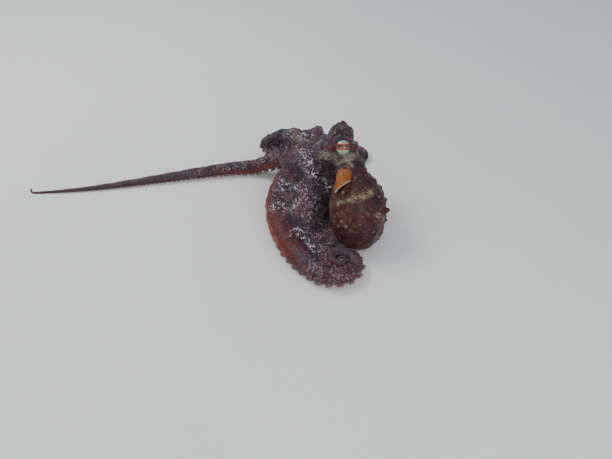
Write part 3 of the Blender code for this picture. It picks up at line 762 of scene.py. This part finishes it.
def mesh_object(name, points, faces, material, masks=None, smooth=True):
    """An object of triangles in the frame of the solids, with its masks as point attributes."""
    mesh = bpy.data.meshes.new(name)
    mesh.from_pydata(placed(points).tolist(), [], faces.tolist())
    for label, values in (masks or {}).items():
        mesh.attributes.new(label, "FLOAT", "POINT").data.foreach_set("value", values.astype(np.float32))
    mesh.update()
    if smooth:
        mesh.shade_smooth()
    mesh.materials.append(material)
    thing = bpy.data.objects.new(name, mesh)
    bpy.context.scene.collection.objects.link(thing)
    return thing


def voxel_skin(voxel):
    """The union of the body's forms as points and triangles."""
    points, faces = together(body_soup())
    rough = mesh_object("rough", points, faces, None)
    change = rough.modifiers.new("remesh", "REMESH")
    change.mode = "VOXEL"
    change.voxel_size = voxel
    seen = rough.evaluated_get(bpy.context.evaluated_depsgraph_get())
    mesh = bpy.data.meshes.new_from_object(seen)
    mesh.calc_loop_triangles()
    flat = np.empty(len(mesh.vertices) * 3, dtype=np.float32)
    mesh.vertices.foreach_get("co", flat)
    faces = np.empty(len(mesh.loop_triangles) * 3, dtype=np.int32)
    mesh.loop_triangles.foreach_get("vertices", faces)
    bpy.data.objects.remove(rough)
    bpy.data.meshes.remove(mesh)
    return main_shell((flat.reshape(-1, 3).astype(float) - SHIFT) / MM, faces.reshape(-1, 3))


def open_sockets(points):
    """Skin in front of an eye is drawn in under the eyeball, up to the lids."""
    for eye in EYES:
        look, _, _ = gaze(eye)
        offset = points - np.array(EYES[eye])
        distance = np.linalg.norm(offset, axis=1)
        facing = offset @ look / (distance + 1e-9)
        inside = facing > math.cos(math.radians(SOCKET_DEGREES))
        inside = inside & (distance < EYE_RADIUS + SOCKET_SPARE)
        drawn_in = np.array(EYES[eye]) + offset * (SOCKET_RADIUS / distance)[:, None]
        points = np.where(inside[:, None], drawn_in, points)
    return points


def skin_shape(voxel, softening):
    """The body's softened skin with its eye sockets, and the free lengths of the arms."""
    points, faces = voxel_skin(voxel)
    share = SOFT_SHARE * (SOFT_AT_EYES + (1 - SOFT_AT_EYES) * step_up(eye_distance(points), *SOFT_FADE))
    body = open_sockets(soften(points, faces, softening, share)), faces
    tubes = [arm_tube(name, FREE_FROM[name] - JOIN_BACK, arm["length"], TUBE_STEP, TUBE_SIDES, JOIN_DIVE)
             for name, arm in ARMS.items()]
    return together([body, *map(loft, tubes)])


def skin_relief(points, masks, radius, arm, count, height):
    """Warts of seeded places and sizes, and slow folds, that fade out at eyes, suckers and floor."""
    random = np.random.default_rng(WART_SEED)
    calm = (1 - masks["under"]) * step_up(eye_distance(points), *CALM_AT_EYES)
    calm = calm * step_up(points[:, 2], *CALM_AT_FLOOR)
    chance = calm * (1.0 + MORE_ON_MANTLE * masks["mantle"]) * (1 - LESS_ON_SMOOTH * masks["smooth"])
    chosen = random.choice(len(points), count, replace=False, p=chance / chance.sum())
    rank = random.random(count) ** WART_POWER
    radii = WART_RADIUS[0] + WART_RADIUS[1] * rank
    heights = height / MM * (WART_SHARE[0] + WART_SHARE[1] * rank)
    limit = np.clip(radius[chosen] / FULL_WARTS_FROM + masks["mantle"][chosen], *WART_LIMIT)
    lift = warts(points, points[chosen], radii * np.sqrt(limit), heights * limit)
    slow = sum(size * plane_waves(points, *wave) for size, *wave in FOLDS)
    thick = np.clip(radius / FULL_FOLDS_FROM, 0.1, 1) * arm + 1 - arm
    return calm * (lift + slow * thick)


def sucker_rows(name, size, spacing):
    """Both rows on one arm: middles of the rims, directions out and ahead, and radii. They turn to the
    floor over the last quarter of the arm's way down."""
    arm, (points, radii, along) = ARMS[name], ROUTES[name]
    fine = np.linspace(BARE.get(name, BARE_USUAL), arm["length"] - BARE_TIP, 2000)
    crowd = 1 / (spacing * np.interp(fine, along, radii) + SUCKER_SPARE)
    count = np.concatenate([[0], np.cumsum((crowd[1:] + crowd[:-1]) / 2 * (fine[1] - fine[0]))])
    places = np.interp(np.arange(1, int(count[-1])), count, fine)
    tables = (points, *frames(points))
    middle, across, upward, ahead = (along_line(places, along, table) for table in tables)
    radius = np.interp(places, along, radii)[:, None]
    lie = np.clip(4 * places / arm["descent"] - 3, 0, 1)[:, None]
    upward = upward * (1 - lie) + np.array((0.0, 0.0, 1.0)) * lie
    upward /= np.linalg.norm(upward, axis=1, keepdims=True)
    first, last, roll = ROLLS.get(name, (0, 1, 0))
    angle = (math.radians(roll) * np.clip((places - first) / (last - first), 0, 1))[:, None]
    axis = -np.cos(angle) * upward - np.sin(angle) * across
    aside = np.cos(angle) * across - np.sin(angle) * upward
    number = np.arange(len(places))[:, None]
    row = np.where(number % 2, 1, -1)
    rims = middle + row * SUCKER_ASIDE * radius * aside + (1 + STAND_OFF) * radius * axis
    sizes = np.maximum(SUCKER_LEAST, size * radius) * (1 + SUCKER_VARIETY * np.sin(5 * number))
    return rims, axis, ahead, sizes


def cup_rings(rims, axes, ways, sizes):
    """Rim + size x (width x circle + height x direction out), for each row of the profile."""
    aside = np.cross(axes, ways)
    aside /= np.linalg.norm(aside, axis=1, keepdims=True)
    turn = turns(SUCKER_SIDES)[None, :, None]
    circle = np.cos(turn) * np.cross(aside, axes)[:, None] + np.sin(turn) * aside[:, None]
    width, height, rim, side = np.array(SUCKER_PROFILE).T
    rings = rims[:, None, None] + sizes[:, :, None, None] * (
        width[:, None, None] * circle[:, None] + height[:, None, None] * axes[:, None, None])
    rings[..., 2] = np.maximum(rings[..., 2], 0.0)
    start, end = rings[:, 0].mean(axis=1), rings[:, -1].mean(axis=1)
    points = np.concatenate([rings.reshape(len(rims), -1, 3), start[:, None], end[:, None]], axis=1)
    _, faces = loft(rings[0])
    faces = faces[None] + (np.arange(len(rims)) * points.shape[1])[:, None, None]
    masks = {mask: np.tile(np.append(np.repeat(values, SUCKER_SIDES), values[[0, -1]]), len(rims))
             for mask, values in (("rim", rim), ("side", side))}
    return points.reshape(-1, 3), faces.reshape(-1, 3), masks


def funnel_wall(line, radii):
    """A tube about a line, with even rows from its root to the plane of the slanting mouth."""
    tube = rings_round(line, radii, FUNNEL_SIDES)
    beyond = (tube - np.array(FUNNEL_MOUTH)) @ unit(FUNNEL_FACING)
    spin = np.arange(FUNNEL_SIDES)
    last = np.argmax(beyond > 0, axis=0)
    here, there = beyond[last - 1, spin], beyond[last, spin]
    row = np.linspace(0, 1, FUNNEL_ROWS)[:, None] * (last - 1 - here / (there - here))
    low = np.minimum(row.astype(int), len(line) - 2)
    part = (row - low)[..., None]
    return tube[low, spin] * (1 - part) + tube[low + 1, spin] * part


def feed(tree, socket, value):
    """Joins an output to a socket, or gives the socket a plain value or colour."""
    if isinstance(value, bpy.types.NodeSocket):
        tree.links.new(value, socket)
    elif socket.type == "RGBA":
        socket.default_value = (*value[:3], 1.0)
    else:
        socket.default_value = value


def add(tree, kind, sockets=None, **settings):
    """A node with its settings, whose sockets are fed."""
    node = tree.nodes.new("ShaderNode" + kind)
    for name, value in settings.items():
        setattr(node, name, value)
    for name, value in (sockets or {}).items():
        feed(tree, node.inputs[name], value)
    return node


def maths(tree, operation, *values):
    """The output of one sum on one, two or three values."""
    return add(tree, "Math", dict(enumerate(values)), operation=operation).outputs[0]


def chain(tree, operation, *values):
    """One sum carried through several values, from the left."""
    return functools.reduce(lambda first, second: maths(tree, operation, first, second), values)


def times(tree, *values):
    """Values multiplied."""
    return chain(tree, "MULTIPLY", *values)


def largest(tree, *values):
    """The largest of several values."""
    return chain(tree, "MAXIMUM", *values)


def slope(tree, value, rise, start):
    """Start + rise x value."""
    return maths(tree, "MULTIPLY_ADD", value, rise, start)


def apart(tree, first, second):
    """How far two values lie apart."""
    return maths(tree, "ABSOLUTE", maths(tree, "SUBTRACT", first, second))


def ramp(tree, value, low, high, first=0.0, last=1.0):
    """A value taken from one range to another along an S-shaped curve."""
    sockets = {"Value": value, "From Min": low, "From Max": high, "To Min": first, "To Max": last}
    return add(tree, "MapRange", sockets, interpolation_type="SMOOTHSTEP").outputs[0]


def paint(tree, colour, coat, *shares):
    """A colour with a coat over it, as thick as the shares multiplied."""
    mix = add(tree, "Mix", {0: times(tree, *shares), 6: colour, 7: coat}, data_type="RGBA")
    return mix.outputs[2]


def noise(tree, where, scale, detail, roughness=0.5, output="Fac"):
    """Soft clouds."""
    sockets = {"Vector": where, "Scale": scale, "Detail": detail, "Roughness": roughness}
    return add(tree, "TexNoise", sockets).outputs[output]


def attribute(tree, name):
    """A mask that the mesh carries."""
    return add(tree, "Attribute", attribute_name=name).outputs["Fac"]


def plain(label):
    """The name of a group's socket in plain words."""
    return label.replace("_", " ").capitalize()


def group(name, output, **inputs):
    """A node group with named inputs and one output: its tree, its inputs and the place that it reads."""
    tree = bpy.data.node_groups.new(name, "ShaderNodeTree")
    for label, value in inputs.items():
        socket = tree.interface.new_socket(plain(label), in_out="INPUT", socket_type="NodeSocketFloat")
        socket.default_value = value
    tree.interface.new_socket(output, in_out="OUTPUT", socket_type="NodeSocketFloat")
    return tree, tree.nodes.new("NodeGroupInput").outputs, add(tree, "TexCoord").outputs["Object"]


def put_out(tree, value):
    """Sends a value to the output of a group."""
    feed(tree, tree.nodes.new("NodeGroupOutput").inputs[0], value)


def pattern(tree, name, **values):
    """The output of a node group placed in a material with its own values."""
    node = add(tree, "Group", {}, node_tree=bpy.data.node_groups[name])
    for label, value in values.items():
        feed(tree, node.inputs[plain(label)], value)
    return node.outputs[0]


def mottle(tree, scale, low, high, detail=3.0):
    """Clouds between two levels."""
    return pattern(tree, "mottle", scale=scale, low=low, high=high, detail=detail)


def flecks(tree, scale, low, high, cluster, cluster_low, cluster_high):
    """Small flecks between two levels, where wider clouds let them show."""
    return pattern(tree, "flecks", scale=scale, low=low, high=high, cluster=cluster,
                   cluster_low=cluster_low, cluster_high=cluster_high)


def make_groups():
    """The effects that several finishes share: dots, flecks, veins, a net, mottling and grain."""
    tree, given, where = group("dots", "Mask", scale=300.0, size=0.3, share=0.5)
    cells = add(tree, "TexVoronoi", {"Vector": where, "Scale": given["Scale"]}).outputs
    chosen = add(tree, "SeparateColor", {"Color": cells["Color"]}).outputs
    size = times(tree, given["Size"], maths(tree, "ADD", chosen[1], 0.35))
    spot = ramp(tree, cells["Distance"], size, times(tree, size, 0.3))
    put_out(tree, times(tree, spot, maths(tree, "LESS_THAN", chosen[0], given["Share"])))

    tree, given, where = group(
        "flecks", "Mask", scale=420.0, low=0.54, high=0.62, cluster=90.0, cluster_low=0.42,
        cluster_high=0.58)
    fine, wide = noise(tree, where, given["Scale"], 1.5), noise(tree, where, given["Cluster"], 2.5)
    put_out(tree, times(tree, ramp(tree, fine, given["Low"], given["High"]),
                        ramp(tree, wide, given["Cluster low"], given["Cluster high"])))

    tree, given, where = group("veins", "Mask", scale=60.0, width=0.03)
    folds = noise(tree, where, given["Scale"], 4.0, 0.6)
    ridge = ramp(tree, apart(tree, folds, 0.5), given["Width"], 0.0)
    put_out(tree, times(tree, ridge, ramp(tree, noise(tree, where, 260.0, 2.0), 0.40, 0.56)))

    tree, given, where = group("net", "Mask", scale=130.0, width=0.06, wobble=0.004)
    shaken = noise(tree, where, 90.0, 2.0, output="Color")
    moved = add(tree, "MixRGB", {"Fac": given["Wobble"], "Color1": where, "Color2": shaken}).outputs[0]
    cells = add(tree, "TexVoronoi", {"Vector": moved, "Scale": given["Scale"]}, feature="DISTANCE_TO_EDGE")
    put_out(tree, ramp(tree, cells.outputs["Distance"], given["Width"], 0.0))

    tree, given, where = group("mottle", "Mask", scale=100.0, low=0.45, high=0.6, detail=3.0)
    cloud = noise(tree, where, given["Scale"], given["Detail"])
    put_out(tree, ramp(tree, cloud, given["Low"], given["High"]))

    tree, given, where = group("grain", "Height", scale=500.0, folds=260.0)
    bumps = add(tree, "TexVoronoi", {"Vector": where, "Scale": given["Scale"]}, feature="SMOOTH_F1")
    folds = noise(tree, where, given["Folds"], 3.0)
    put_out(tree, slope(tree, bumps.outputs["Distance"], -0.6, folds))


def new_finish(name, roughness, specular=0.5):
    """A new material, its tree and its shader."""
    material = bpy.data.materials.new(name)
    material.use_nodes = True
    shader = material.node_tree.nodes["Principled BSDF"]
    shader.inputs["Roughness"].default_value = roughness
    shader.inputs["Specular IOR Level"].default_value = specular
    return material, material.node_tree, shader


def dress(tree, shader, colour, grain=None, raised=None):
    """Gives a shader its colour and a grain of a scale, fold scale, strength and depth in metres."""
    feed(tree, shader.inputs["Base Color"], colour)
    if grain:
        scale, folds, strength, depth = grain
        height = pattern(tree, "grain", scale=scale, folds=folds)
        if raised:
            height = maths(tree, "ADD", height, raised)
        bump = add(tree, "Bump", {"Height": height, "Strength": strength, "Distance": depth})
        feed(tree, shader.inputs["Normal"], bump.outputs["Normal"])


def skin_material(look):
    """Mottled purple-brown skin with flecks, veins, cream marks, a red flank and a pale underside, with
    painted light on the mantle's left side, painted shade in some dark marks, and grey painted light
    through the mantle's thin edges.
    """
    material, tree, shader = new_finish("octopus_skin", 0.55, 0.2)
    mantle, glow, smooth, margin, dark, red, pale = (
        attribute(tree, name) for name in ("mantle", "glow", "smooth", "margin", "dark", "red", "pale"))
    rosy = mottle(tree, 190, 0.46, 0.64)
    coarse = mottle(tree, 75, 0.42, 0.60)

    # Ground colours of arms and head and of the mantle, with painted light on the mantle's left side, then
    # smooth skin, margins, flank and blotches; the dark marks among them are partly painted shade
    body = paint(tree, look.dark_skin, look.warm_skin, coarse)
    body = paint(tree, body, look.smooth_skin, rosy, 0.55)
    sac = paint(tree, look.mantle_skin, look.mantle_warm, coarse)
    # Painted light: the mantle's left side, towards the key light, is lighter, and its tan net shows more
    # there
    sac = paint(tree, sac, look.mantle_painted_light, glow, slope(tree, rosy, 0.55, 0.35))
    sac = paint(tree, sac, look.mantle_tan, mottle(tree, 120, 0.47, 0.60), slope(tree, glow, 0.5, 0.15))
    colour = paint(tree, body, sac, mantle)
    for coat, *shares in (
            (look.smooth_skin, smooth, 0.7),
            (look.deep_skin_and_shade, mottle(tree, 300, 0.42, 0.60), 0.45),
            (look.flank, ramp(tree, margin, 0.0, 0.5)),
            (look.margin, ramp(tree, margin, 0.45, 1.0)),
            (look.warm_skin, mottle(tree, 110, 0.46, 0.60), ramp(tree, margin, 0.0, 0.3), 0.6),
            (look.flank, red, slope(tree, mottle(tree, 260, 0.44, 0.62), -0.7, 0.9)),
            # Dark marks: blotches of the skin, and painted shade in the crease between head and mantle and
            # down the mantle's right side
            (look.deep_skin_and_shade, dark, slope(tree, rosy, -0.4, 0.8))):
        colour = paint(tree, colour, coat, *shares)

    # Pale flecks and veins: more where the skin is marked pale, none on the mantle, and fewer on smooth
    # skin, on margins and on dark, red and calm marks
    rough = flecks(tree, 460, slope(tree, pale, -0.048, 0.60), slope(tree, pale, -0.048, 0.68),
                   50, slope(tree, pale, -0.24, 0.42), slope(tree, pale, -0.24, 0.60))
    small = flecks(tree, 700, 0.59, 0.66, 130, 0.40, 0.52)
    veins = pattern(tree, "veins", scale=42.0, width=0.026)
    specks = largest(
        tree, times(tree, rough, slope(tree, pale, 0.5, 0.5)),
        times(tree, veins, slope(tree, pale, 0.75, 0.25)), times(tree, small, 0.32))
    hush = largest(tree, dark, times(tree, red, 0.8), attribute(tree, "calm"))
    bright = ramp(tree, margin, 0.0, 0.6)
    quiet = [slope(tree, mask, -less, 1.0)
             for mask, less in ((mantle, 1), (smooth, 0.75), (bright, 0.75), (hush, 0.8))]
    colour = paint(tree, colour, look.specks, specks, *quiet)

    # Dots and haze of the mantle, cream patches, cheek, and plain marks, among them grey painted light
    # through the mantle's thin edges
    dots = pattern(tree, "dots", scale=150.0, size=0.32, share=0.9)
    haze = flecks(tree, 300, 0.50, 0.66, 70, 0.46, 0.62)
    dots = largest(tree, times(tree, dots, 0.55), times(tree, haze, 0.2))
    patch = paint(tree, look.cream, look.moss, mottle(tree, 420, 0.42, 0.60))
    cheek = paint(tree, look.olive, look.moss, mottle(tree, 330, 0.40, 0.68, 0.5))
    for coat, *shares in (
            (look.dots, dots, mantle),
            (patch, attribute(tree, "cream"), slope(tree, mottle(tree, 170, 0.38, 0.58), 0.45, 0.08)),
            (cheek, attribute(tree, "olive"), 0.72),
            # Grey: painted light shining through the mantle's thin edges
            (look.grey, attribute(tree, "grey"), 0.55),
            (look.white, attribute(tree, "white"), 0.75),
            (look.eye_bar, attribute(tree, "bar"), 0.8),
            (look.underside, attribute(tree, "under"))):
        colour = paint(tree, colour, coat, *shares)
    dress(tree, shader, colour, (480, 300, 0.8, 0.0007), times(tree, specks, 0.5))
    return material


def sucker_material(look):
    """Pale cups with a rosy rim."""
    material, tree, shader = new_finish("sucker_flesh", 0.42)
    colour = paint(tree, look.sucker_cup, look.sucker_rim, attribute(tree, "rim"))
    colour = paint(tree, colour, look.sucker_side, attribute(tree, "side"))
    colour = paint(tree, colour, look.underside, mottle(tree, 500, 0.35, 0.65), 0.3)
    dress(tree, shader, colour, (900, 500, 0.4, 0.0003))
    return material


def eye_material(look):
    """A red-brown band edged with orange across a pale ball, with a level slit, wide at both ends."""
    material, tree, shader = new_finish("eye_surface", 0.22)
    shader.inputs["Coat Weight"].default_value = 0.4
    shader.inputs["Coat Roughness"].default_value = 0.08
    face = add(tree, "UVMap", uv_map="face").outputs["UV"]
    across, upward, _ = add(tree, "SeparateXYZ", {"Vector": face}).outputs
    across, upward = slope(tree, across, 2.0, -1.0), slope(tree, upward, 2.0, -1.0)
    aside = maths(tree, "ABSOLUTE", across)
    streaks = noise(tree, face, 40.0, 4.0)
    high = slope(tree, maths(tree, "SUBTRACT", noise(tree, face, 14.0, 3.0), 0.5), 0.12, upward)

    # The band with its shaded middle and sides, then the whites above and below it, the upper white tinted
    # bluish grey as a painted reflection of the sky
    band = times(tree, ramp(tree, high, 0.56, 0.50), ramp(tree, high, -0.36, -0.28))
    iris = paint(tree, look.iris, look.iris_glow, ramp(tree, streaks, 0.4, 0.62, 0.0, 0.35))
    shade = times(tree, ramp(tree, high, -0.10, 0.12), ramp(tree, high, 0.46, 0.38))
    shade = largest(tree, shade, ramp(tree, aside, 0.25, 0.6, 0.0, 0.9))
    iris = paint(tree, iris, look.iris_shade, shade, 0.85)
    # Painted reflection: the upper white, facing up, is tinted like the sky
    white = paint(tree, look.eye_white, look.eye_painted_sky, ramp(tree, upward, 0.0, 0.6))
    white = paint(tree, white, look.cream, ramp(tree, streaks, 0.45, 0.7, 0.0, 0.35))
    colour = paint(tree, white, iris, band)
    colour = paint(tree, colour, look.iris_glow, ramp(tree, high, 0.40, 0.47), band)

    # The slit, as high at each place as its middle height + flare x (place across) squared
    edge = slope(tree, times(tree, across, across), PUPIL_FLARE, PUPIL_HEIGHT)
    slit = ramp(tree, maths(tree, "SUBTRACT", apart(tree, upward, PUPIL_UP), edge), 0.02, -0.02)
    colour = paint(tree, colour, look.pupil, slit, ramp(tree, aside, PUPIL_REACH, PUPIL_REACH - 0.06))
    dress(tree, shader, colour)
    return material


def funnel_material(look):
    """Orange flesh with a fine pale net, browner at the root, with a white lip."""
    material, tree, shader = new_finish("funnel_flesh", 0.45, 0.25)
    colour = paint(tree, look.funnel, look.funnel_glow, mottle(tree, 260, 0.38, 0.62))
    net = pattern(tree, "net", scale=420.0, width=0.14, wobble=0.003)
    colour = paint(tree, colour, look.cream, net, 0.12)
    colour = paint(tree, colour, look.warm_skin, attribute(tree, "root"))
    colour = paint(tree, colour, look.white, attribute(tree, "lip"))
    dress(tree, shader, colour, (700, 400, 0.4, 0.0004))
    return material


def floor_material(look):
    """Plain pale floor with a faint unevenness."""
    material, tree, shader = new_finish("studio_floor", 0.7)
    dress(tree, shader, paint(tree, look.floor, (0.5, 0.5, 0.5), mottle(tree, 6, 0.3, 0.7), 0.06))
    return material


def colour_property(name, description, default):
    """A colour that a user may change."""
    return bpy.props.FloatVectorProperty(
        name=name, description=description, default=default, subtype="COLOR", size=3, min=0, max=1)


class OctopusSettings(bpy.types.PropertyGroup):
    voxel: bpy.props.FloatProperty(
        name="Skin cell", description="Size of the cells that the skin is built from", default=0.00135,
        min=0.0005, max=0.005, unit="LENGTH")
    softening: bpy.props.IntProperty(
        name="Softening", description="How often the skin is smoothed", default=16, min=0, max=80)
    wart_count: bpy.props.IntProperty(
        name="Warts", description="Number of raised bumps on the skin", default=1300, min=0, max=5000)
    wart_height: bpy.props.FloatProperty(
        name="Wart height", description="Height of the tallest bumps", default=0.0018, min=0, max=0.005,
        unit="LENGTH")
    sucker_size: bpy.props.FloatProperty(
        name="Sucker size", description="Radius of a sucker as a share of its arm's", default=0.40,
        min=0.1, max=0.6, subtype="FACTOR")
    sucker_step: bpy.props.FloatProperty(
        name="Sucker spacing", description="Distance between suckers as a share of the arm's radius",
        default=0.47, min=0.2, max=2, subtype="FACTOR")
    light: bpy.props.FloatProperty(
        name="Light", description="Power of the main light", default=8.0, min=0, unit="POWER")
    dark_skin: colour_property("Dark skin", "Main colour of arms and head", (0.030, 0.015, 0.022))
    warm_skin: colour_property("Warm skin", "Redder patches of arms and head", (0.072, 0.027, 0.030))
    # Darkest blotches, and also the colour of the painted shade in some dark marks
    deep_skin_and_shade: colour_property("Deep skin", "Darkest blotches", (0.010, 0.006, 0.011))
    smooth_skin: colour_property("Smooth skin", "Bare skin of the arms' ends", (0.072, 0.041, 0.053))
    mantle_skin: colour_property("Mantle", "Main colour of the mantle", (0.042, 0.012, 0.015))
    mantle_warm: colour_property("Mantle patches", "Lighter patches of the mantle", (0.056, 0.012, 0.012))
    # Painted light on the mantle's left side
    mantle_painted_light: colour_property("Mantle glow", "Lit side of the mantle", (0.080, 0.022, 0.016))
    mantle_tan: colour_property("Mantle tan", "Tan net between the mantle's patches", (0.112, 0.054, 0.028))
    flank: colour_property("Flank", "Red side of the near arm", (0.090, 0.017, 0.014))
    margin: colour_property("Margin", "Bright edge of the arms", (0.26, 0.055, 0.030))
    specks: colour_property("Specks", "Small pale specks", (0.56, 0.47, 0.52))
    cream: colour_property("Cream", "Cream patches and dots", (0.36, 0.31, 0.20))
    dots: colour_property("Dots", "Dots of the mantle", (0.34, 0.25, 0.15))
    olive: colour_property("Olive", "Smooth patch under the eye", (0.27, 0.25, 0.18))
    moss: colour_property("Moss", "Darker spots of the cream patches", (0.12, 0.098, 0.062))
    white: colour_property("White", "White spots and lip", (0.80, 0.82, 0.86))
    # Painted light shining through the mantle's thin edges
    grey: colour_property("Grey", "Clear grey-brown skin", (0.105, 0.085, 0.070))
    underside: colour_property("Underside", "Skin between the suckers", (0.42, 0.24, 0.22))
    eye_bar: colour_property("Eye bar", "Bar beside the eye", (0.085, 0.020, 0.013))
    eye_white: colour_property("Eye white", "Lower white of the eye", (0.45, 0.47, 0.47))
    # Painted reflection of the sky on the upper eye white
    eye_painted_sky: colour_property("Upper eye white", "Upper white of the eye", (0.22, 0.25, 0.29))
    iris: colour_property("Iris", "Band across the eye", (0.25, 0.075, 0.028))
    iris_glow: colour_property("Iris glow", "Bright edge and streaks of the band", (0.66, 0.20, 0.035))
    iris_shade: colour_property("Iris shade", "Dark part of the band", (0.11, 0.018, 0.011))
    pupil: colour_property("Pupil", "Slit of the eye", (0.040, 0.009, 0.006))
    sucker_cup: colour_property("Sucker cup", "Hollow of a sucker", (0.42, 0.27, 0.25))
    sucker_rim: colour_property("Sucker rim", "Rim of a sucker", (0.50, 0.34, 0.32))
    sucker_side: colour_property("Sucker side", "Outer side of a sucker", (0.12, 0.048, 0.048))
    funnel: colour_property("Funnel", "Main colour of the funnel", (0.17, 0.044, 0.003))
    funnel_glow: colour_property("Funnel glow", "Lighter patches of the funnel", (0.27, 0.078, 0.006))
    floor: colour_property("Floor", "Pale floor", (0.72, 0.71, 0.69))


class OCTOPUS_OT_skin(bpy.types.Operator):
    """Build the one skin of mantle, head, arms and webs"""
    bl_idname = "octopus.skin"
    bl_label = "Skin"

    def execute(self, context):
        look = context.scene.octopus
        points, faces = skin_shape(look.voxel, look.softening)
        masks, radius, arm = skin_masks(points)
        relief = skin_relief(points, masks, radius, arm, look.wart_count, look.wart_height)
        points = points + face_normals(points, faces) * relief[:, None]
        points[:, 2] = np.maximum(points[:, 2], SKIN_FLOOR)
        skin = mesh_object("octopus_skin", points, faces, skin_material(look), masks)
        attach(skin, "root")
        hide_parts(*SKIN_NODES)
        return {"FINISHED"}


class OCTOPUS_OT_suckers(bpy.types.Operator):
    """Build the two rows of suckers under every arm"""
    bl_idname = "octopus.suckers"
    bl_label = "Suckers"

    def execute(self, context):
        look = context.scene.octopus
        rows = [sucker_rows(name, look.sucker_size, look.sucker_step) for name in ARMS]
        points, faces, masks = cup_rings(*map(np.concatenate, zip(*rows)))
        cups = mesh_object("suckers", points, faces, sucker_material(look), masks)
        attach(cups, "root")
        return {"FINISHED"}


class OCTOPUS_OT_eyes(bpy.types.Operator):
    """Build the two eyeballs with their slit pupils"""
    bl_idname = "octopus.eyes"
    bl_label = "Eyes"

    def execute(self, context):
        material = eye_material(context.scene.octopus)
        for eye in EYES:
            look, across, upward = gaze(eye)
            middle = np.array(EYES[eye], dtype=float)
            points, faces = egg(middle, EYE_RADIUS * np.array((across, upward, look)), *EYE_GRID)
            offset = (points - middle) / EYE_RADIUS
            right, high = offset @ across, offset @ upward
            facing = offset @ look > 0
            wide = PUPIL_HEIGHT + PUPIL_FLARE * right ** 2
            slit = (1 - step_up(np.abs(high - PUPIL_UP) - wide, -PUPIL_SIDE, PUPIL_SIDE)) * facing
            slit = slit * (1 - step_up(np.abs(right), PUPIL_REACH - PUPIL_END, PUPIL_REACH))
            points = points - offset * (PUPIL_DEPTH * slit)[:, None]
            ball = mesh_object("eyeball_" + eye, points, faces, material)
            layer = ball.data.uv_layers.new(name="face")
            corner = np.empty(len(ball.data.loops), dtype=np.int32)
            ball.data.loops.foreach_get("vertex_index", corner)
            face = np.stack([0.5 + 0.5 * right, 0.5 + 0.5 * high], axis=1)[corner]
            layer.data.foreach_set("uv", face.astype(np.float32).ravel())
            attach(ball, "root")
            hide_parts("eye_" + eye)
        return {"FINISHED"}


class OCTOPUS_OT_funnel(bpy.types.Operator):
    """Build the funnel with its open tip"""
    bl_idname = "octopus.funnel"
    bl_label = "Funnel"

    def execute(self, context):
        line, radii = course_points(FUNNEL, FUNNEL_STEPS)
        facing = unit(FUNNEL_FACING)
        outer, inner = funnel_wall(line, radii), funnel_wall(line, radii - FUNNEL_WALL)
        lip = (outer[-1] + inner[-1]) / 2 + FUNNEL_LIP * facing
        bore = inner[:FUNNEL_FLOOR_ROW:-1]
        points, faces = loft(np.concatenate([outer, lip[None], bore]))
        back = np.linspace(1, FUNNEL_FLOOR_PLACE, len(bore))
        rows = np.concatenate([np.linspace(0, 1, len(outer)), [1.0], back])
        place = np.append(np.repeat(rows, FUNNEL_SIDES), [0.0, FUNNEL_FLOOR_PLACE])
        depth = (np.array(FUNNEL_MOUTH) - points) @ facing
        lip_share = LIP_STRENGTH * (1 - step_up(depth, *LIP_FADE))
        masks = {"root": 1 - step_up(place, *ROOT_FADE), "lip": lip_share}
        thing = mesh_object("funnel_tube", points, faces, funnel_material(context.scene.octopus), masks)
        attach(thing, "root")
        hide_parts("funnel")
        return {"FINISHED"}


class OCTOPUS_OT_stage(bpy.types.Operator):
    """Build the floor, the lights and the camera"""
    bl_idname = "octopus.stage"
    bl_label = "Stage"

    def execute(self, context):
        look = context.scene.octopus
        scene = context.scene
        faces = np.array(((0, 1, 2), (0, 2, 3)))
        corners = np.array(FLOOR_CORNERS)
        floor = mesh_object("studio_floor", corners, faces, floor_material(look), smooth=False)
        for name, (place, size, share) in LIGHTS.items():
            lamp = bpy.data.lights.new(name, "AREA")
            lamp.shape = "DISK"
            lamp.size = size
            lamp.energy = look.light * share
            holder = bpy.data.objects.new(name, lamp)
            holder.location = place
            holder.rotation_euler = (-holder.location).to_track_quat("-Z", "Y").to_euler()
            scene.collection.objects.link(holder)
        world = bpy.data.worlds.new("studio")
        world.use_nodes = True
        sky = world.node_tree.nodes["Background"].inputs
        sky["Color"].default_value = SKY
        sky["Strength"].default_value = SKY_STRENGTH
        scene.world = world
        lens = bpy.data.cameras.new("camera")
        lens.sensor_width = SENSOR
        lens.lens = SENSOR * FOCAL_PIXELS / PHOTO_WIDTH
        lens.clip_start = 0.01
        lens.clip_end = 50
        camera = bpy.data.objects.new("camera", lens)
        camera.location = placed(np.array(CAMERA))
        camera.rotation_euler = (math.pi / 2 - math.radians(CAMERA_DROP), 0, 0)
        scene.collection.objects.link(camera)
        scene.camera = camera
        return {"FINISHED"}


class OCTOPUS_PT_panel(bpy.types.Panel):
    """Lists the steps and the settings"""
    bl_idname = "OCTOPUS_PT_panel"
    bl_label = "Octopus"
    bl_space_type = "VIEW_3D"
    bl_region_type = "UI"
    bl_category = "Octopus"

    def draw(self, context):
        for step in STEPS:
            self.layout.operator("octopus." + step)
        for name in OctopusSettings.__annotations__:
            self.layout.prop(context.scene.octopus, name)


STEPS = ("skin", "suckers", "eyes", "funnel", "stage")
CLASSES = (OctopusSettings, OCTOPUS_OT_skin, OCTOPUS_OT_suckers, OCTOPUS_OT_eyes, OCTOPUS_OT_funnel,
           OCTOPUS_OT_stage, OCTOPUS_PT_panel)


def register():
    """Adds the classes and the scene's settings."""
    for each in CLASSES:
        bpy.utils.register_class(each)
    bpy.types.Scene.octopus = bpy.props.PointerProperty(type=OctopusSettings)


def unregister():
    """Takes the classes and the scene's settings away."""
    del bpy.types.Scene.octopus
    for each in reversed(CLASSES):
        bpy.utils.unregister_class(each)


def main():
    register()
    make_groups()
    for step in STEPS:
        getattr(bpy.ops.octopus, step)()


if __name__ == "__main__":
    main()
